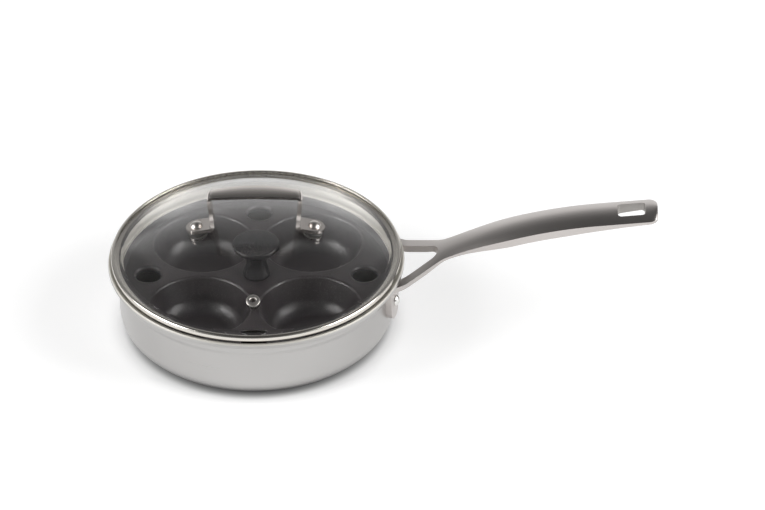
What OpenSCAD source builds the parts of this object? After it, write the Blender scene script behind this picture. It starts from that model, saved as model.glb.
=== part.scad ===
// Egg poacher pan: a three-ply pan with a cast fork handle, a lift-out tray of
// four egg cups with a knob, and a domed glass lid with a strap handle.
// Origin: centre of the pan's base, on the surface it stands on.
// +Z is up and +X points along the long handle. Millimetres.

/* [Pan] */
// Outer radius of the pan's wall above the seat
pan_r = 97.4; // [85:0.2:115]
// Height of the lip above the surface
pan_h = 52; // [48:0.5:70]
// Outer ply of steel
outer_ply = 0.5; // [0.4:0.05:0.8]
// Core ply of aluminium
core_ply = 1.6; // [1.2:0.1:2.4]
// Inner ply of steel
inner_ply = 0.5; // [0.4:0.05:0.8]
// Outer radius of the curve between base and wall
base_corner_r = 16; // [10:0.5:20]
// How far the lip stands out beyond the wall
lip_reach = 5.6; // [4:0.1:8]
// Angle that the lip turns outwards, from upright
lip_angle = 76; // [65:1:84]
// Inward step of the wall that carries the tray
seat_step = 1.4; // [1.2:0.05:2]
// Slope of that step and of the tray's rim, from upright
seat_angle = 22; // [16:1:30]

/* [Tray] */
// Thickness of the tray's sheet
tray_t = 1.2; // [0.8:0.1:1.6]
// Depth of the tray's flat top below the pan's lip
tray_drop = 15.2; // [14:0.1:17]
// Height of the tray's turned-up rim above its flat
tray_rim_h = 4.3; // [3:0.1:4.6]
// Gap between the tray's rim and its seat
tray_gap = 0.3; // [0.25:0.05:0.6]
// Land between neighbouring cups' mouths
cup_land = 2; // [1.5:0.1:5]
// Distance from the cups' mouths to the inside of the pan's wall
cup_edge = 2.7; // [2.6:0.1:5]
// Inner depth of a cup
cup_depth = 23; // [15:0.5:26]
// Narrowing of a cup from its mouth to its bottom corner
cup_taper = 7.9; // [6:0.1:12]
// Inner radius of the curve round a cup's bottom
cup_curve_r = 12; // [6:0.5:14]
// Radius of the soft edge of cups and steam holes
mouth_r = 2.1; // [1.5:0.1:3]
// Radius of a steam hole
steam_r = 8.6; // [6:0.1:10]
// Distance of each steam hole's axis from the inside of the pan's wall
steam_inset = 18.4; // [17:0.1:20]
// Depth of the turned-down collar of a steam hole
steam_collar = 2.8; // [2:0.1:5]

/* [Knob] */
// Radius of the knob's flat top
knob_r = 16.3; // [13:0.1:18]
// Height of the knob above the tray
knob_h = 26.2; // [22:0.2:27]
// Radius of the knob's stem at its waist
knob_stem_r = 6.8; // [6:0.1:8]
// Radius of the knob's foot on the tray
knob_foot_r = 9.4; // [8.5:0.1:11]
// Thickness of the knob's edge
knob_edge_t = 3.4; // [2.5:0.1:5]
// Radius of the knob's screw
screw_r = 2.5; // [2:0.25:3]
// Radius of the screw's head
screw_head_r = 4.6; // [4:0.1:6]
// Height of the screw's head
screw_head_h = 2.6; // [2:0.1:4]
// Depth of the screw in the knob
screw_depth = 10; // [6:0.5:14]
// Outer radius of the threaded sleeve in the knob
sleeve_r = 4; // [3.6:0.1:4.6]
// Outer radius of the washer under the tray
washer_r = 6.5; // [6.2:0.1:8]
// Thickness of that washer
washer_t = 1; // [0.6:0.1:1.6]

/* [Lid] */
// How far the lid's steel band stands out beyond the pan's wall
lid_reach = 3.4; // [2.6:0.1:4]
// Height of the band's top above the pan's lip
band_top = 5; // [4.6:0.1:6]
// Height of the band's skirt
band_skirt = 4.2; // [4:0.05:4.4]
// Width of the band's top flange
band_flange = 2.6; // [2.4:0.1:3.4]
// Thickness of the band's sheet
band_t = 0.4; // [0.3:0.05:0.5]
// Depth of the ring under the band below the pan's lip
ring_drop = 2.4; // [2:0.1:3.2]
// Gap between that ring and the pan's lip
lid_gap = 0.3; // [0.25:0.05:0.6]
// Thickness of the glass
glass_t = 3; // [2.6:0.1:3.1]
// Gap between glass and band at the glass's edge
glass_edge_gap = 0.6; // [0.4:0.1:1.2]
// Height of the dome's crown above the band
dome_h = 21.2; // [17:0.1:30]
// Distance of the vent from the dome's edge
vent_inset = 22.1; // [16:0.1:30]
// Radius of the vent's hole
vent_r = 1.9; // [1.2:0.1:2.2]
// Wall of the vent's eyelet
eyelet_t = 0.6; // [0.4:0.1:0.8]
// Radius of the eyelet's flange
eyelet_flange_r = 5; // [4.4:0.1:6]
// Wall and flange of the vent's grommet
grommet_t = 0.6; // [0.4:0.1:1]

/* [Lid handle] */
// Distance of each rivet from the lid's centre
grip_rivet_x = 40.1; // [39:0.1:44]
// Height of the handle's top above the pan's lip
grip_top = 56.4; // [50:0.2:70]
// Rise of the arched top bar
grip_arch = 3; // [0.5:0.1:5]
// Length of the top bar over its corners
grip_len = 66.7; // [62:0.1:68]
// Distance over the legs at their feet
grip_foot_len = 61.2; // [59:0.1:62]
// Width of the strap at its top corners
grip_w = 9.2; // [7:0.2:12]
// Extra width of the top bar at its middle
grip_swell = 4.6; // [0.4:0.2:6]
// Thickness of the strap
grip_t = 2.6; // [2:0.1:3.2]
// Width of each foot
foot_w = 14.4; // [13:0.2:17]
// Thickness of the gasket under each foot
gasket_t = 2; // [1.5:0.1:3]
// Radius of the gaskets
gasket_r = 6.6; // [6:0.1:7.2]
// Radius of the lid rivets' shanks
lid_rivet_r = 2.5; // [2:0.1:3]
// Radius of the lid rivets' heads
lid_rivet_head_r = 4.3; // [3.8:0.1:5.2]
// Height of the lid rivets' heads
lid_rivet_head_h = 2.6; // [1.6:0.1:3.4]
// Thickness of the gasket inside the lid
inner_gasket_t = 1.5; // [1:0.1:2.5]
// Thickness of the washer inside the lid
inner_washer_t = 1; // [0.6:0.1:1.6]

/* [Long handle] */
// Reach of the handle's end beyond the pan's wall
handle_reach = 180.1; // [150:0.1:210]
// Half angle of the fork
fork_angle = 31; // [27:0.5:34]
// Half width of the fork over its prongs near the pan
fork_half_w = 29; // [27:0.5:31]
// Distance outside the wall where that half width is taken
fork_start = 2.6; // [1.6:0.1:4.6]
// Width of each prong
prong_w = 7; // [5.5:0.1:8]
// Radius of the fork's inner corner
crotch_r = 9.2; // [5:0.2:10]
// Half width of the neck
neck_half_w = 11.4; // [10:0.1:13]
// Half width of the grip
grip_half_w = 13.8; // [12:0.1:16]
// Radius of the grip's end corners
tip_corner_r = 6; // [3:0.5:9]
// Drop of the prongs' top edge below the lip at the fork's wall end
prong_drop = 5.2; // [4:0.1:6]
// Angle at which the prongs and neck climb
climb_angle = 23; // [18:0.1:27]
// Angle of the grip's end
end_angle = 5.2; // [0:0.1:8]
// Length of the fork and neck before the climb starts to ease
climb_run = 40; // [36:1:50]
// Length of the grip's straight end
end_run = 39.5; // [30:0.5:50]
// Rise of the crown across the grip
crown_h = 3; // [1:0.1:4]
// Height of the side faces at their tallest
side_h = 7; // [4:0.1:8]
// Height of the side faces at the neck and the end
side_thin = 2.4; // [2:0.1:4]
// Height of the prongs' side faces
prong_side = 4.6; // [3.5:0.1:5.4]
// Depth of the rounded belly under the grip
belly_h = 3.6; // [2:0.1:5]
// Distance of the hanging slot's middle from the grip's end
slot_inset = 18; // [16:0.5:24]
// Length of the hanging slot
slot_len = 19; // [12:0.5:22]
// Width of the hanging slot
slot_w = 14.5; // [8:0.5:16]
// Radius of the slot's corners
slot_corner_r = 2.5; // [2:0.5:4]
// Distance of each pad's middle in from the fork's half width
pad_inset = 3.2; // [2.5:0.1:5]
// Width of each pad at its top
pad_w = 20; // [16:0.5:22]
// Height of each pad
pad_h = 25; // [20:0.2:26]
// Thickness of each pad outside the wall
pad_t = 2.8; // [2.4:0.1:3.6]
// Depth of the pads' top below the lip
pad_drop = 7; // [5:0.1:8]
// Depth of the handle rivets below the lip
rivet_drop = 18.6; // [17:0.1:21]
// Radius of the handle rivets' shanks
rivet_r = 2.5; // [2:0.1:2.9]
// Radius of the handle rivets' heads
rivet_head_r = 4; // [3.5:0.1:5]
// Height of the handle rivets' heads
rivet_head_h = 3; // [2:0.1:3.5]
// Radius of their countersunk inner ends
rivet_sunk_r = 3.6; // [3.4:0.1:4]

/* [Hidden] */
$fn = 96;
// Overshoot of a cut past the face that it opens
cut = 1;
// Segments in each rounded corner of a profile
corner_steps = 8;

// Small fixed sizes of the pan and tray
// Plain wall between the seat's step and the lip's flare
seat_clear = 0.8;
// Bend between the tray's flat and its rim
tray_bend_r = 1.8;
// Straight foot and waist of the knob, and how its stem widens to the top
knob_foot_h = 2;
knob_waist_h = 9;
knob_neck_out = 1.2;
knob_neck_h = 4;
knob_radii = [0, 0.8, 1.5, 8, 6, 1.4, 1.4, 0];
// Closed end of the knob's sleeve over the screw
sleeve_end_t = 1.5;
// Rounding of the screw's head and its cross recess
screw_round_r = 1.6;
recess_len = 4.4;
recess_w = 1;
recess_depth = 1.4;

// Small fixed sizes of the lid
// Outward lean of the band's ring from its lower edge up to the skirt
ring_lean = 1.4;
// Bends of the band: top edge, lower edge and ring
band_bends = [1.6, 1.2, 0.6];
// Distance of the dome's foot from the band's flange, and the curve there
dome_inset = 4.6;
dome_foot_r = 6;
// Setback of the seal behind the band's flange and ring
seal_inset = 0.4;
seal_low_inset = 0.5;
// Setback of the grommet's flange and of the vent's washer from the eyelet's edge
grommet_inset = 0.4;
vent_washer_inset = 0.5;
// Height of the eyelet's flange and of the dome that it is cut from
eyelet_h = 1.1;
eyelet_dome_h = 1.6;
// Length of the eyelet below the glass
eyelet_tail = 1.4;
vent_washer_t = 0.8;
// Room that the curved glass needs over a flat washer
vent_washer_gap = 0.1;
// Bends of the lid handle between foot and leg, and between leg and bar
foot_bend_r = 1.6;
bar_bend_r = 4;
// Height over a foot where the leg starts to narrow
leg_start_h = 2;
// Straight edge of a rivet's head under its dome
rivet_edge_h = 0.6;
// Height and setback of a lid rivet's inner head
inner_head_h = 1.6;
inner_head_inset = 0.6;
// Setback of the inner washers from the gaskets' edge
inner_washer_inset = 0.5;

// Small fixed sizes of the long handle
// Depth of the handle's start behind the wall's outer face
handle_start_in = 8;
// Distance from the fork's width mark to the start of the climb
climb_lead = 3;
// Softness of the line where fork and neck blend
neck_blend = 1.2;
// Stretches along the handle over which its section changes
merge_run = 18;
swell_run = 44;
thin_run = 70;
// Rise of the crown across a prong
prong_crown = 1.2;
// Share of the belly that is gone at the grip's end
belly_fade = 0.5;
// Inward lean of the side faces, and its share of a low side face
side_lean = 1.6;
side_lean_share = 0.25;
// Angle that the last station of the grip's rounded end reaches
tip_sweep = 84;
// Taper of each side of a pad, and the radii of its corners
pad_taper = 1.5;
pad_low_r = 8;
pad_top_r = 1.5;
// Depth to which a handle rivet's head reaches down over the curved pad
head_sink = 0.4;
// Straight edge of a handle rivet's countersunk end
sunk_edge_h = 0.3;

steel = [0.78, 0.77, 0.75];
bright_steel = [0.86, 0.86, 0.84];
handle_steel = [0.36, 0.34, 0.33];
aluminium = [0.80, 0.81, 0.82];
coating = [0.13, 0.13, 0.14];
phenolic = [0.09, 0.09, 0.10];
silicone = [0.14, 0.14, 0.14];
brass = [0.78, 0.62, 0.32];
glass = [0.75, 0.82, 0.82, 0.35];

// Paths and sheets in a plane

function unit(v) = v / norm(v);
function left_of(v) = [-v[1], v[0]];
function reversed(list) = [for (i = [len(list) - 1:-1:0]) list[i]];
function turned(v, a) = [v[0] * cos(a) - v[1] * sin(a), v[0] * sin(a) + v[1] * cos(a)];
function lerp(a, b, t) = a + (b - a) * t;
// Smooth step from 0 at a to 1 at b
function ramp(x, a, b) = let (t = min(1, max(0, (x - a) / (b - a)))) t * t * (3 - 2 * t);

// +1 where the path turns left at point i, and -1 where it turns right
function turn_sign(p, i) = sign(cross(p[i] - p[i - 1], p[i + 1] - p[i]));

// The path shifted by d to its left, with mitred corners
function shifted(p, d) = [
    for (i = [0:len(p) - 1])
        let (last = len(p) - 1,
             n1 = left_of(unit(p[max(i, 1)] - p[max(i, 1) - 1])),
             n2 = left_of(unit(p[min(i, last - 1) + 1] - p[min(i, last - 1)])))
        p[i] + d * (n1 + n2) / (1 + n1 * n2)];

// The points of one corner b, rounded by radius r
function corner(a, b, c, r) =
    let (u = unit(a - b), v = unit(c - b),
         half = acos(max(-1, min(1, u * v))) / 2,
         middle = b + unit(u + v) * r / sin(half),
         start = b + u * r / tan(half) - middle,
         way = sign(cross(start, b + v * r / tan(half) - middle)))
    [for (k = [0:corner_steps]) middle + turned(start, way * (180 - 2 * half) * k / corner_steps)];

// The path with each inner corner rounded by its radius, 0 for a sharp one
function rounded(p, r) = [
    for (i = [0:len(p) - 1])
        each (i == 0 || i == len(p) - 1 || r[i] <= 0) ? [p[i]] : corner(p[i - 1], p[i], p[i + 1], r[i])];

// Corner radii of the path after a shift to its left
function shifted_radii(p, r, d) = [
    for (i = [0:len(p) - 1])
        (i == 0 || i == len(p) - 1 || r[i] <= 0) ? 0 : max(0.05, r[i] - d * turn_sign(p, i))];

function face(p, r, d) = rounded(shifted(p, d), shifted_radii(p, r, d));

// The outline of a sheet between two shifts of one path
function sheet(p, r, d0, d1) = concat(face(p, r, d0), reversed(face(p, r, d1)));

// Sizes that follow from those above

wall_t = outer_ply + core_ply + inner_ply;
low_r = pan_r - seat_step;
lip_r = pan_r + lip_reach;
flare_r = lip_reach / (1 - cos(lip_angle));
flare_z = pan_h - (flare_r + wall_t) * sin(lip_angle);
seat_top_z = flare_z - seat_clear;
seat_low_z = seat_top_z - seat_step / tan(seat_angle);

// The pan's outer face, from the middle of its base to the edge of its lip
pan_path = [[0, 0], [low_r, 0], [low_r, seat_low_z], [pan_r, seat_top_z],
            [pan_r, flare_z + flare_r * tan(lip_angle / 2)],
            [lip_r, flare_z + flare_r * sin(lip_angle)]];
pan_radii = [0, base_corner_r, 0, 0, flare_r, 0];

// The seat's inner line, and the tray's rim that lies along it
seat_in_r = low_r - wall_t;
seat_in_z = seat_low_z + wall_t * tan(seat_angle / 2);
tray_z = pan_h - tray_drop;
tray_low_z = tray_z - tray_t;
function tray_edge_r(z) = seat_in_r + (z - seat_in_z) * tan(seat_angle) - tray_gap / cos(seat_angle);
tray_rim_z = tray_z + tray_rim_h;
// The tray's under face, from its middle to the top of its rim
tray_path = [[0, tray_low_z], [tray_edge_r(tray_low_z), tray_low_z], [tray_edge_r(tray_rim_z), tray_rim_z]];
tray_radii = [0, tray_bend_r, 0];

// The four cups stand at the corners of a square, and the steam holes between them
cup_angles = [45, 135, 225, 315];
steam_angles = [0, 90, 180, 270];
// The cups fill the ring between the land that divides them and the pan's wall
cup_sine = sin(cup_angles[0]);
cup_mouth_r = (seat_in_r - cup_edge - cup_land / 2 / cup_sine) / (1 + 1 / cup_sine);
cup_pitch_r = (cup_mouth_r + cup_land / 2) / cup_sine;
cup_r = cup_mouth_r - mouth_r;
steam_pitch_r = seat_in_r - steam_inset;
// A cup's inner face, from its mouth to the middle of its bottom
cup_floor_z = tray_z - cup_depth;
cup_path = [[cup_mouth_r, tray_z], [cup_r, tray_z], [cup_r - cup_taper, cup_floor_z], [0, cup_floor_z]];
cup_radii = [0, mouth_r, cup_curve_r, 0];
// A steam hole's inner face
steam_low_z = tray_low_z - steam_collar;
steam_path = [[steam_r + mouth_r + cut, tray_z], [steam_r, tray_z], [steam_r, steam_low_z]];
steam_radii = [0, mouth_r, 0];

knob_top_z = tray_z + knob_h;
sleeve_h = screw_depth + sleeve_end_t;

// The lid's band, from its flange round the glass's edge to the ring that sits in the lip
lid_r = pan_r + lid_reach;
band_z = pan_h + band_top;
skirt_z = band_z - band_skirt;
lip_mid_r = pan_r + flare_r;
lip_inner = flare_r + wall_t;
ring_z = pan_h - ring_drop;
// Radius of the pan's inner face in its lip, at height z
function lip_in_r(z) = lip_mid_r - lip_inner * cos(asin((z - flare_z) / lip_inner));
ring_r = lip_in_r(ring_z) - lid_gap / cos(asin((ring_z - flare_z) / lip_inner));
ring_top_r = ring_r + ring_lean;
band_path = [[lid_r - band_flange, band_z], [lid_r, band_z], [lid_r, skirt_z],
             [ring_top_r, skirt_z], [ring_r, ring_z]];
band_radii = concat([0], band_bends, [0]);

glass_r = lid_r - band_t - glass_edge_gap;
// The glass lies midway between the band's two legs
glass_rim_z = band_z - (band_skirt - glass_t) / 2;
dome_r = lid_r - band_flange - dome_inset;
vent_pitch_r = dome_r - vent_inset;
crown_z = band_z + dome_h;
dome_rise = crown_z - glass_rim_z;
dome_ball_r = (dome_r * dome_r + dome_rise * dome_rise) / (2 * dome_rise);
dome_edge_a = asin(dome_r / dome_ball_r);
dome_steps = 16;
// The glass's top face, from the crown to the edge
glass_path = concat(
    [for (i = [0:dome_steps]) let (a = dome_edge_a * i / dome_steps)
        [dome_ball_r * sin(a), crown_z - dome_ball_r * (1 - cos(a))]],
    [[glass_r, glass_rim_z]]);
glass_radii = [for (i = [0:dome_steps + 1]) i == dome_steps ? dome_foot_r : 0];
// The seal fills the band round the glass's edge
seal_in_r = lid_r - band_flange + seal_inset;
seal_low_r = ring_top_r + seal_low_inset;
seal_path = [[seal_in_r, band_z], [lid_r, band_z], [lid_r, skirt_z], [seal_low_r, skirt_z]];
seal_radii = [0, band_bends[0], band_bends[1], 0];

// Feet of the lid's handle stand square to the dome
foot_a = asin(grip_rivet_x / dome_ball_r);
foot_r = foot_w / 2;
// A point of the foot: u along it, outwards, and h up from the glass
function foot_point(u, h) = [
    grip_rivet_x + u * cos(foot_a) + h * sin(foot_a),
    crown_z - dome_ball_r * (1 - cos(foot_a)) - u * sin(foot_a) + h * cos(foot_a)];
foot_top = gasket_t + grip_t;
grip_top_z = pan_h + grip_top;
grip_corner_z = grip_top_z - grip_arch;
// Where the leg's outer line crosses the foot's top line
leg_u = (grip_foot_len / 2 - foot_point(0, foot_top)[0]) / cos(foot_a);
arch_steps = 8;
function arch_point(t) = [t * grip_len / 2, grip_corner_z + grip_arch * (1 - t * t)];
// The handle's top face, from the right foot over the bar to the left foot
grip_side = [foot_point(foot_r, foot_top), foot_point(leg_u, foot_top)];
grip_path = concat(
    grip_side,
    [for (i = [arch_steps:-1:-arch_steps]) arch_point(i / arch_steps)],
    [for (p = reversed(grip_side)) [-p[0], p[1]]]);
grip_radii = [
    for (i = [0:len(grip_path) - 1])
        (i == 1 || i == len(grip_path) - 2) ? foot_bend_r
        : (i == 2 || i == len(grip_path) - 3) ? bar_bend_r : 0];

// Shape of the long handle
tip_x = pan_r + handle_reach;
fork_x = pan_r + fork_start;
ease_start = fork_x + climb_run;
ease_end = tip_x - end_run;
prong_z = pan_h - prong_drop;
fork_slope = tan(fork_angle);
// Where the prongs' inner edges would meet, which is where the neck starts
neck_x = fork_x + (fork_half_w - prong_w / cos(fork_angle)) / fork_slope;
ease_r = (ease_end - ease_start) / (sin(climb_angle) - sin(end_angle));
ease_z = prong_z + (ease_start - fork_x - climb_lead) * tan(climb_angle);
end_z = ease_z + ease_r * (cos(end_angle) - cos(climb_angle));
handle_start_x = pan_r - handle_start_in;

// Height of the handle's top edges at x
function edge_z(x) =
    x < ease_start ? max(prong_z, ease_z - (ease_start - x) * tan(climb_angle))
    : x < ease_end
        ? ease_z + ease_r * (cos(asin(sin(climb_angle) - (x - ease_start) / ease_r)) - cos(climb_angle))
        : end_z + (x - ease_end) * tan(end_angle);
// Half width of the fork's outline and of the beam at x, and the two blended
function fork_half(x) = fork_half_w - (x - fork_x) * fork_slope;
function beam_half(x) = lerp(neck_half_w, grip_half_w, ramp(x, neck_x, neck_x + swell_run));
function blended_half(x) =
    let (a = fork_half(x), b = beam_half(x)) (a + b + sqrt((a - b) * (a - b) + neck_blend)) / 2;
function tip_cut(x) =
    let (s = max(0, x - (tip_x - tip_corner_r)))
    tip_corner_r - sqrt(max(0, tip_corner_r * tip_corner_r - s * s));
function half_w(x) = blended_half(x) - tip_cut(x);
function crown_at(x) = lerp(prong_crown, crown_h, ramp(x, neck_x - merge_run, neck_x + swell_run));
// Height of the side faces and depth of the belly at x
function side_at(x) =
    side_thin + (prong_side - side_thin) * (1 - ramp(x, neck_x - merge_run, neck_x))
    + (side_h - side_thin) * ramp(x, neck_x, neck_x + swell_run) * (1 - ramp(x, tip_x - thin_run, tip_x));
function belly_at(x) =
    belly_h * ramp(x, neck_x - merge_run, neck_x + merge_run)
    * (1 - belly_fade * ramp(x, tip_x - thin_run, tip_x));
// Width over which the top rolls down to its edges
roll_w = grip_half_w;

top_steps = 6;
// One cross-section at x, from one top edge over the crown and back under the belly
function handle_section(x) =
    let (w = half_w(x), e = edge_z(x), c = crown_at(x), roll = min(w, roll_w),
         lean = min(side_lean, side_lean_share * side_at(x)), low_w = w - lean, low_z = e - side_at(x))
    concat(
        [for (k = [-top_steps:top_steps])
            let (y = w * k / top_steps, s = max(0, abs(y) - (w - roll)) / roll)
            [x, y, e + c * (1 - s * s)]],
        [for (k = [top_steps:-1:-top_steps])
            let (s = k / top_steps)
            [x, low_w * s, low_z - belly_at(x) * (1 - s * s)]]);

// Stations along the handle, closer together round its end
fork_steps = 12;
grip_steps = 14;
tip_steps = 5;
handle_x = concat(
    [for (i = [0:fork_steps]) lerp(handle_start_x, neck_x, i / fork_steps)],
    [for (i = [1:grip_steps]) lerp(neck_x, tip_x - tip_corner_r, i / grip_steps)],
    [for (i = [1:tip_steps]) tip_x - tip_corner_r + tip_corner_r * sin(tip_sweep * i / tip_steps)]);
// Top of a cut that passes up through the whole handle
handle_top_z = edge_z(tip_x) + crown_h + cut;

slot_x = tip_x - slot_inset;
pad_r = pan_r + pad_t;
pad_angle = asin((fork_half_w - pad_inset) / pad_r);
pad_top_z = pan_h - pad_drop;
rivet_z = pan_h - rivet_drop;
sides = [-1, 1];

// Shared shapes

module turned_sheet(p, r, d0, d1) rotate_extrude()
    polygon([for (q = sheet(p, r, d0, d1)) [max(0, q[0]), q[1]]]);

// The solid inside one face of a turned sheet, closed over by a flat top
module turned_solid(p, r, d, top) {
    f = face(p, r, d);
    skin = [for (i = [1:len(f) - 1]) f[i]];
    rotate_extrude() polygon(concat(skin, [[0, skin[len(skin) - 1][1]], [0, top], [skin[0][0], top]]));
}

// The whole body of the pan, filled, for trimming what touches its wall
module pan_envelope() {
    outer = face(pan_path, pan_radii, 0);
    rotate_extrude() polygon(concat(outer, [[lip_r, pan_h + cut], [0, pan_h + cut]]));
}

// Sets its children on the wall at a pad's rivet, +Z outwards
module at_pad(side)
    rotate([0, 0, side * pad_angle]) translate([0, 0, rivet_z]) rotate([0, 90, 0]) children();

// Shank and sunk inner end of a handle rivet, running past the wall's inner face
module rivet_core(side) at_pad(side) {
    translate([0, 0, seat_in_r - cut]) cylinder(r = rivet_r, h = pad_r - seat_in_r + 2 * cut);
    translate([0, 0, seat_in_r - cut]) cylinder(r = rivet_sunk_r, h = cut + sunk_edge_h);
    translate([0, 0, seat_in_r + sunk_edge_h])
        cylinder(r1 = rivet_sunk_r, r2 = rivet_r, h = rivet_sunk_r - rivet_r);
}

// A domed head that stands on z = 0
module dome_head(r, h) {
    ball = (r * r + h * h) / (2 * h);
    intersection() {
        translate([0, 0, h - ball]) sphere(r = ball);
        cylinder(r = r, h = h + cut);
    }
}

module ply(d0, d1) {
    difference() {
        turned_sheet(pan_path, pan_radii, d0, d1);
        for (side = sides) rivet_core(side);
    }
}

// Pan

module pan_outer_ply() color(steel) ply(0, outer_ply);
module pan_core_ply() color(aluminium) ply(outer_ply, outer_ply + core_ply);
module pan_inner_ply() color(steel) ply(outer_ply + core_ply, wall_t);

module handle_rivet(side) color(bright_steel) {
    difference() {
        rivet_core(side);
        cylinder(r = seat_in_r, h = pan_h);
    }
    difference() {
        at_pad(side) translate([0, 0, pad_r - head_sink]) {
            cylinder(r = rivet_head_r, h = head_sink + rivet_edge_h);
            translate([0, 0, head_sink + rivet_edge_h])
                dome_head(rivet_head_r, rivet_head_h - rivet_edge_h);
        }
        cylinder(r = pad_r, h = pan_h);
    }
}
module handle_rivet_front() handle_rivet(-1);
module handle_rivet_back() handle_rivet(1);

// The cast body of the handle, before the fork and the slot are opened
module handle_cast() {
    n = 4 * top_steps + 2;
    rows = len(handle_x);
    points = [for (x = handle_x) each handle_section(x)];
    skin = [
        for (i = [0:rows - 2])
            for (k = [0:n - 1])
                let (a = i * n + k, b = i * n + (k + 1) % n)
                each [[a, b, a + n], [b, b + n, a + n]]];
    last = (rows - 1) * n;
    ends = [
        for (k = [0:2 * top_steps - 1])
            let (a = k, b = k + 1, c = n - 2 - k, d = n - 1 - k)
            each [[b, a, c], [c, a, d], [last + a, last + b, last + c], [last + a, last + c, last + d]]];
    polyhedron(points, concat(skin, ends));
}

module fork_opening() {
    half = neck_x * fork_slope;
    linear_extrude(height = handle_top_z)
        polygon(rounded([[0, -half], [neck_x, 0], [0, half]], [0, crotch_r, 0]));
}

module hanging_slot() {
    a = slot_len / 2;
    b = slot_w / 2;
    translate([slot_x, 0, 0]) linear_extrude(height = handle_top_z)
        polygon(rounded([[0, -b], [a, -b], [a, b], [-a, b], [-a, -b], [0, -b]],
                        [0, slot_corner_r, slot_corner_r, slot_corner_r, slot_corner_r, 0]));
}

// A pad lies on the wall and narrows to a round lower end
module handle_pad(side) {
    a = pad_w / 2;
    b = a - pad_taper;
    low = pad_top_z - pad_h;
    difference() {
        intersection() {
            translate([0, 0, low - cut]) cylinder(r = pad_r, h = pad_h + 2 * cut);
            rotate([0, 0, side * pad_angle]) rotate([90, 0, 90]) linear_extrude(height = pad_r + cut)
                polygon(rounded(
                    [[0, pad_top_z], [-a, pad_top_z], [-b, low], [b, low], [a, pad_top_z], [0, pad_top_z]],
                    [0, pad_top_r, pad_low_r, pad_low_r, pad_top_r, 0]));
        }
        pan_envelope();
    }
}

module long_handle() color(handle_steel) difference() {
    union() {
        difference() {
            handle_cast();
            fork_opening();
            hanging_slot();
            pan_envelope();
        }
        for (side = sides) handle_pad(side);
    }
    for (side = sides) at_pad(side) cylinder(r = rivet_r, h = pad_r + cut);
}

// Tray

// Sets its children at a distance from the tray's middle, at each of some angles
module around_tray(r, angles) for (a = angles) translate([r * cos(a), r * sin(a), 0]) children();

module steam_body() turned_solid(steam_path, steam_radii, tray_t, tray_z - tray_t / 2);
module steam_hollow() {
    turned_solid(steam_path, steam_radii, 0, tray_z + cut);
    translate([0, 0, steam_low_z - cut]) cylinder(r = steam_r, h = 2 * cut);
}

// The tray's plate with its rim and collars; each cup closes one of its round openings
module egg_cup_tray() color(coating) difference() {
    union() {
        turned_sheet(tray_path, tray_radii, 0, tray_t);
        around_tray(steam_pitch_r, steam_angles) steam_body();
    }
    around_tray(steam_pitch_r, steam_angles) steam_hollow();
    around_tray(cup_pitch_r, cup_angles)
        translate([0, 0, tray_low_z - cut]) cylinder(r = cup_mouth_r, h = tray_t + 2 * cut);
    translate([0, 0, tray_low_z - cut]) cylinder(r = screw_r, h = tray_t + 2 * cut);
}

module egg_cup(angle) color(coating) around_tray(cup_pitch_r, [angle])
    turned_sheet(cup_path, cup_radii, 0, tray_t);
module egg_cup_back_right() egg_cup(cup_angles[0]);
module egg_cup_back_left() egg_cup(cup_angles[1]);
module egg_cup_front_left() egg_cup(cup_angles[2]);
module egg_cup_front_right() egg_cup(cup_angles[3]);

module tray_knob() color(phenolic) difference() {
    edge_z = knob_top_z - knob_edge_t;
    rotate_extrude() polygon(rounded(
        [[0, tray_z], [knob_foot_r, tray_z], [knob_foot_r, tray_z + knob_foot_h],
         [knob_stem_r, tray_z + knob_waist_h], [knob_stem_r + knob_neck_out, edge_z - knob_neck_h],
         [knob_r, edge_z], [knob_r, knob_top_z], [0, knob_top_z]],
        knob_radii));
    translate([0, 0, tray_z - cut]) cylinder(r = sleeve_r, h = sleeve_h + cut);
}

module knob_sleeve() color(brass) difference() {
    translate([0, 0, tray_z]) cylinder(r = sleeve_r, h = sleeve_h);
    translate([0, 0, tray_z - cut]) cylinder(r = screw_r, h = screw_depth + cut);
}

module knob_screw() color(bright_steel) {
    translate([0, 0, tray_low_z - washer_t]) cylinder(r = screw_r, h = washer_t + tray_t + screw_depth);
    translate([0, 0, tray_low_z - washer_t - screw_head_h]) difference() {
        rotate_extrude() polygon(rounded(
            [[0, 0], [screw_head_r, 0], [screw_head_r, screw_head_h], [0, screw_head_h]],
            [0, screw_round_r, 0, 0]));
        for (a = [0, 90]) rotate([0, 0, a])
            translate([-recess_len / 2, -recess_w / 2, -cut])
                cube([recess_len, recess_w, recess_depth + cut]);
    }
}

module knob_washer() color(bright_steel) translate([0, 0, tray_low_z - washer_t]) difference() {
    cylinder(r = washer_r, h = washer_t);
    translate([0, 0, -cut]) cylinder(r = screw_r, h = washer_t + 2 * cut);
}

// Lid

// Sets its children on the dome at a distance from its axis, +Z square to the glass
module on_dome(distance, heading) {
    a = asin(distance / dome_ball_r);
    rotate([0, 0, heading]) translate([0, 0, crown_z - dome_ball_r]) rotate([0, a, 0])
        translate([0, 0, dome_ball_r]) children();
}
module at_vent() on_dome(vent_pitch_r, -90) children();
module at_foot(side) on_dome(grip_rivet_x, side > 0 ? 0 : 180) children();
// The solid under one face of the dome
module under_dome(d) {
    f = [for (q = face(glass_path, glass_radii, d)) [max(0, q[0]), q[1]]];
    rotate_extrude() polygon(concat(f, [[glass_r, pan_h], [0, pan_h]]));
}

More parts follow.
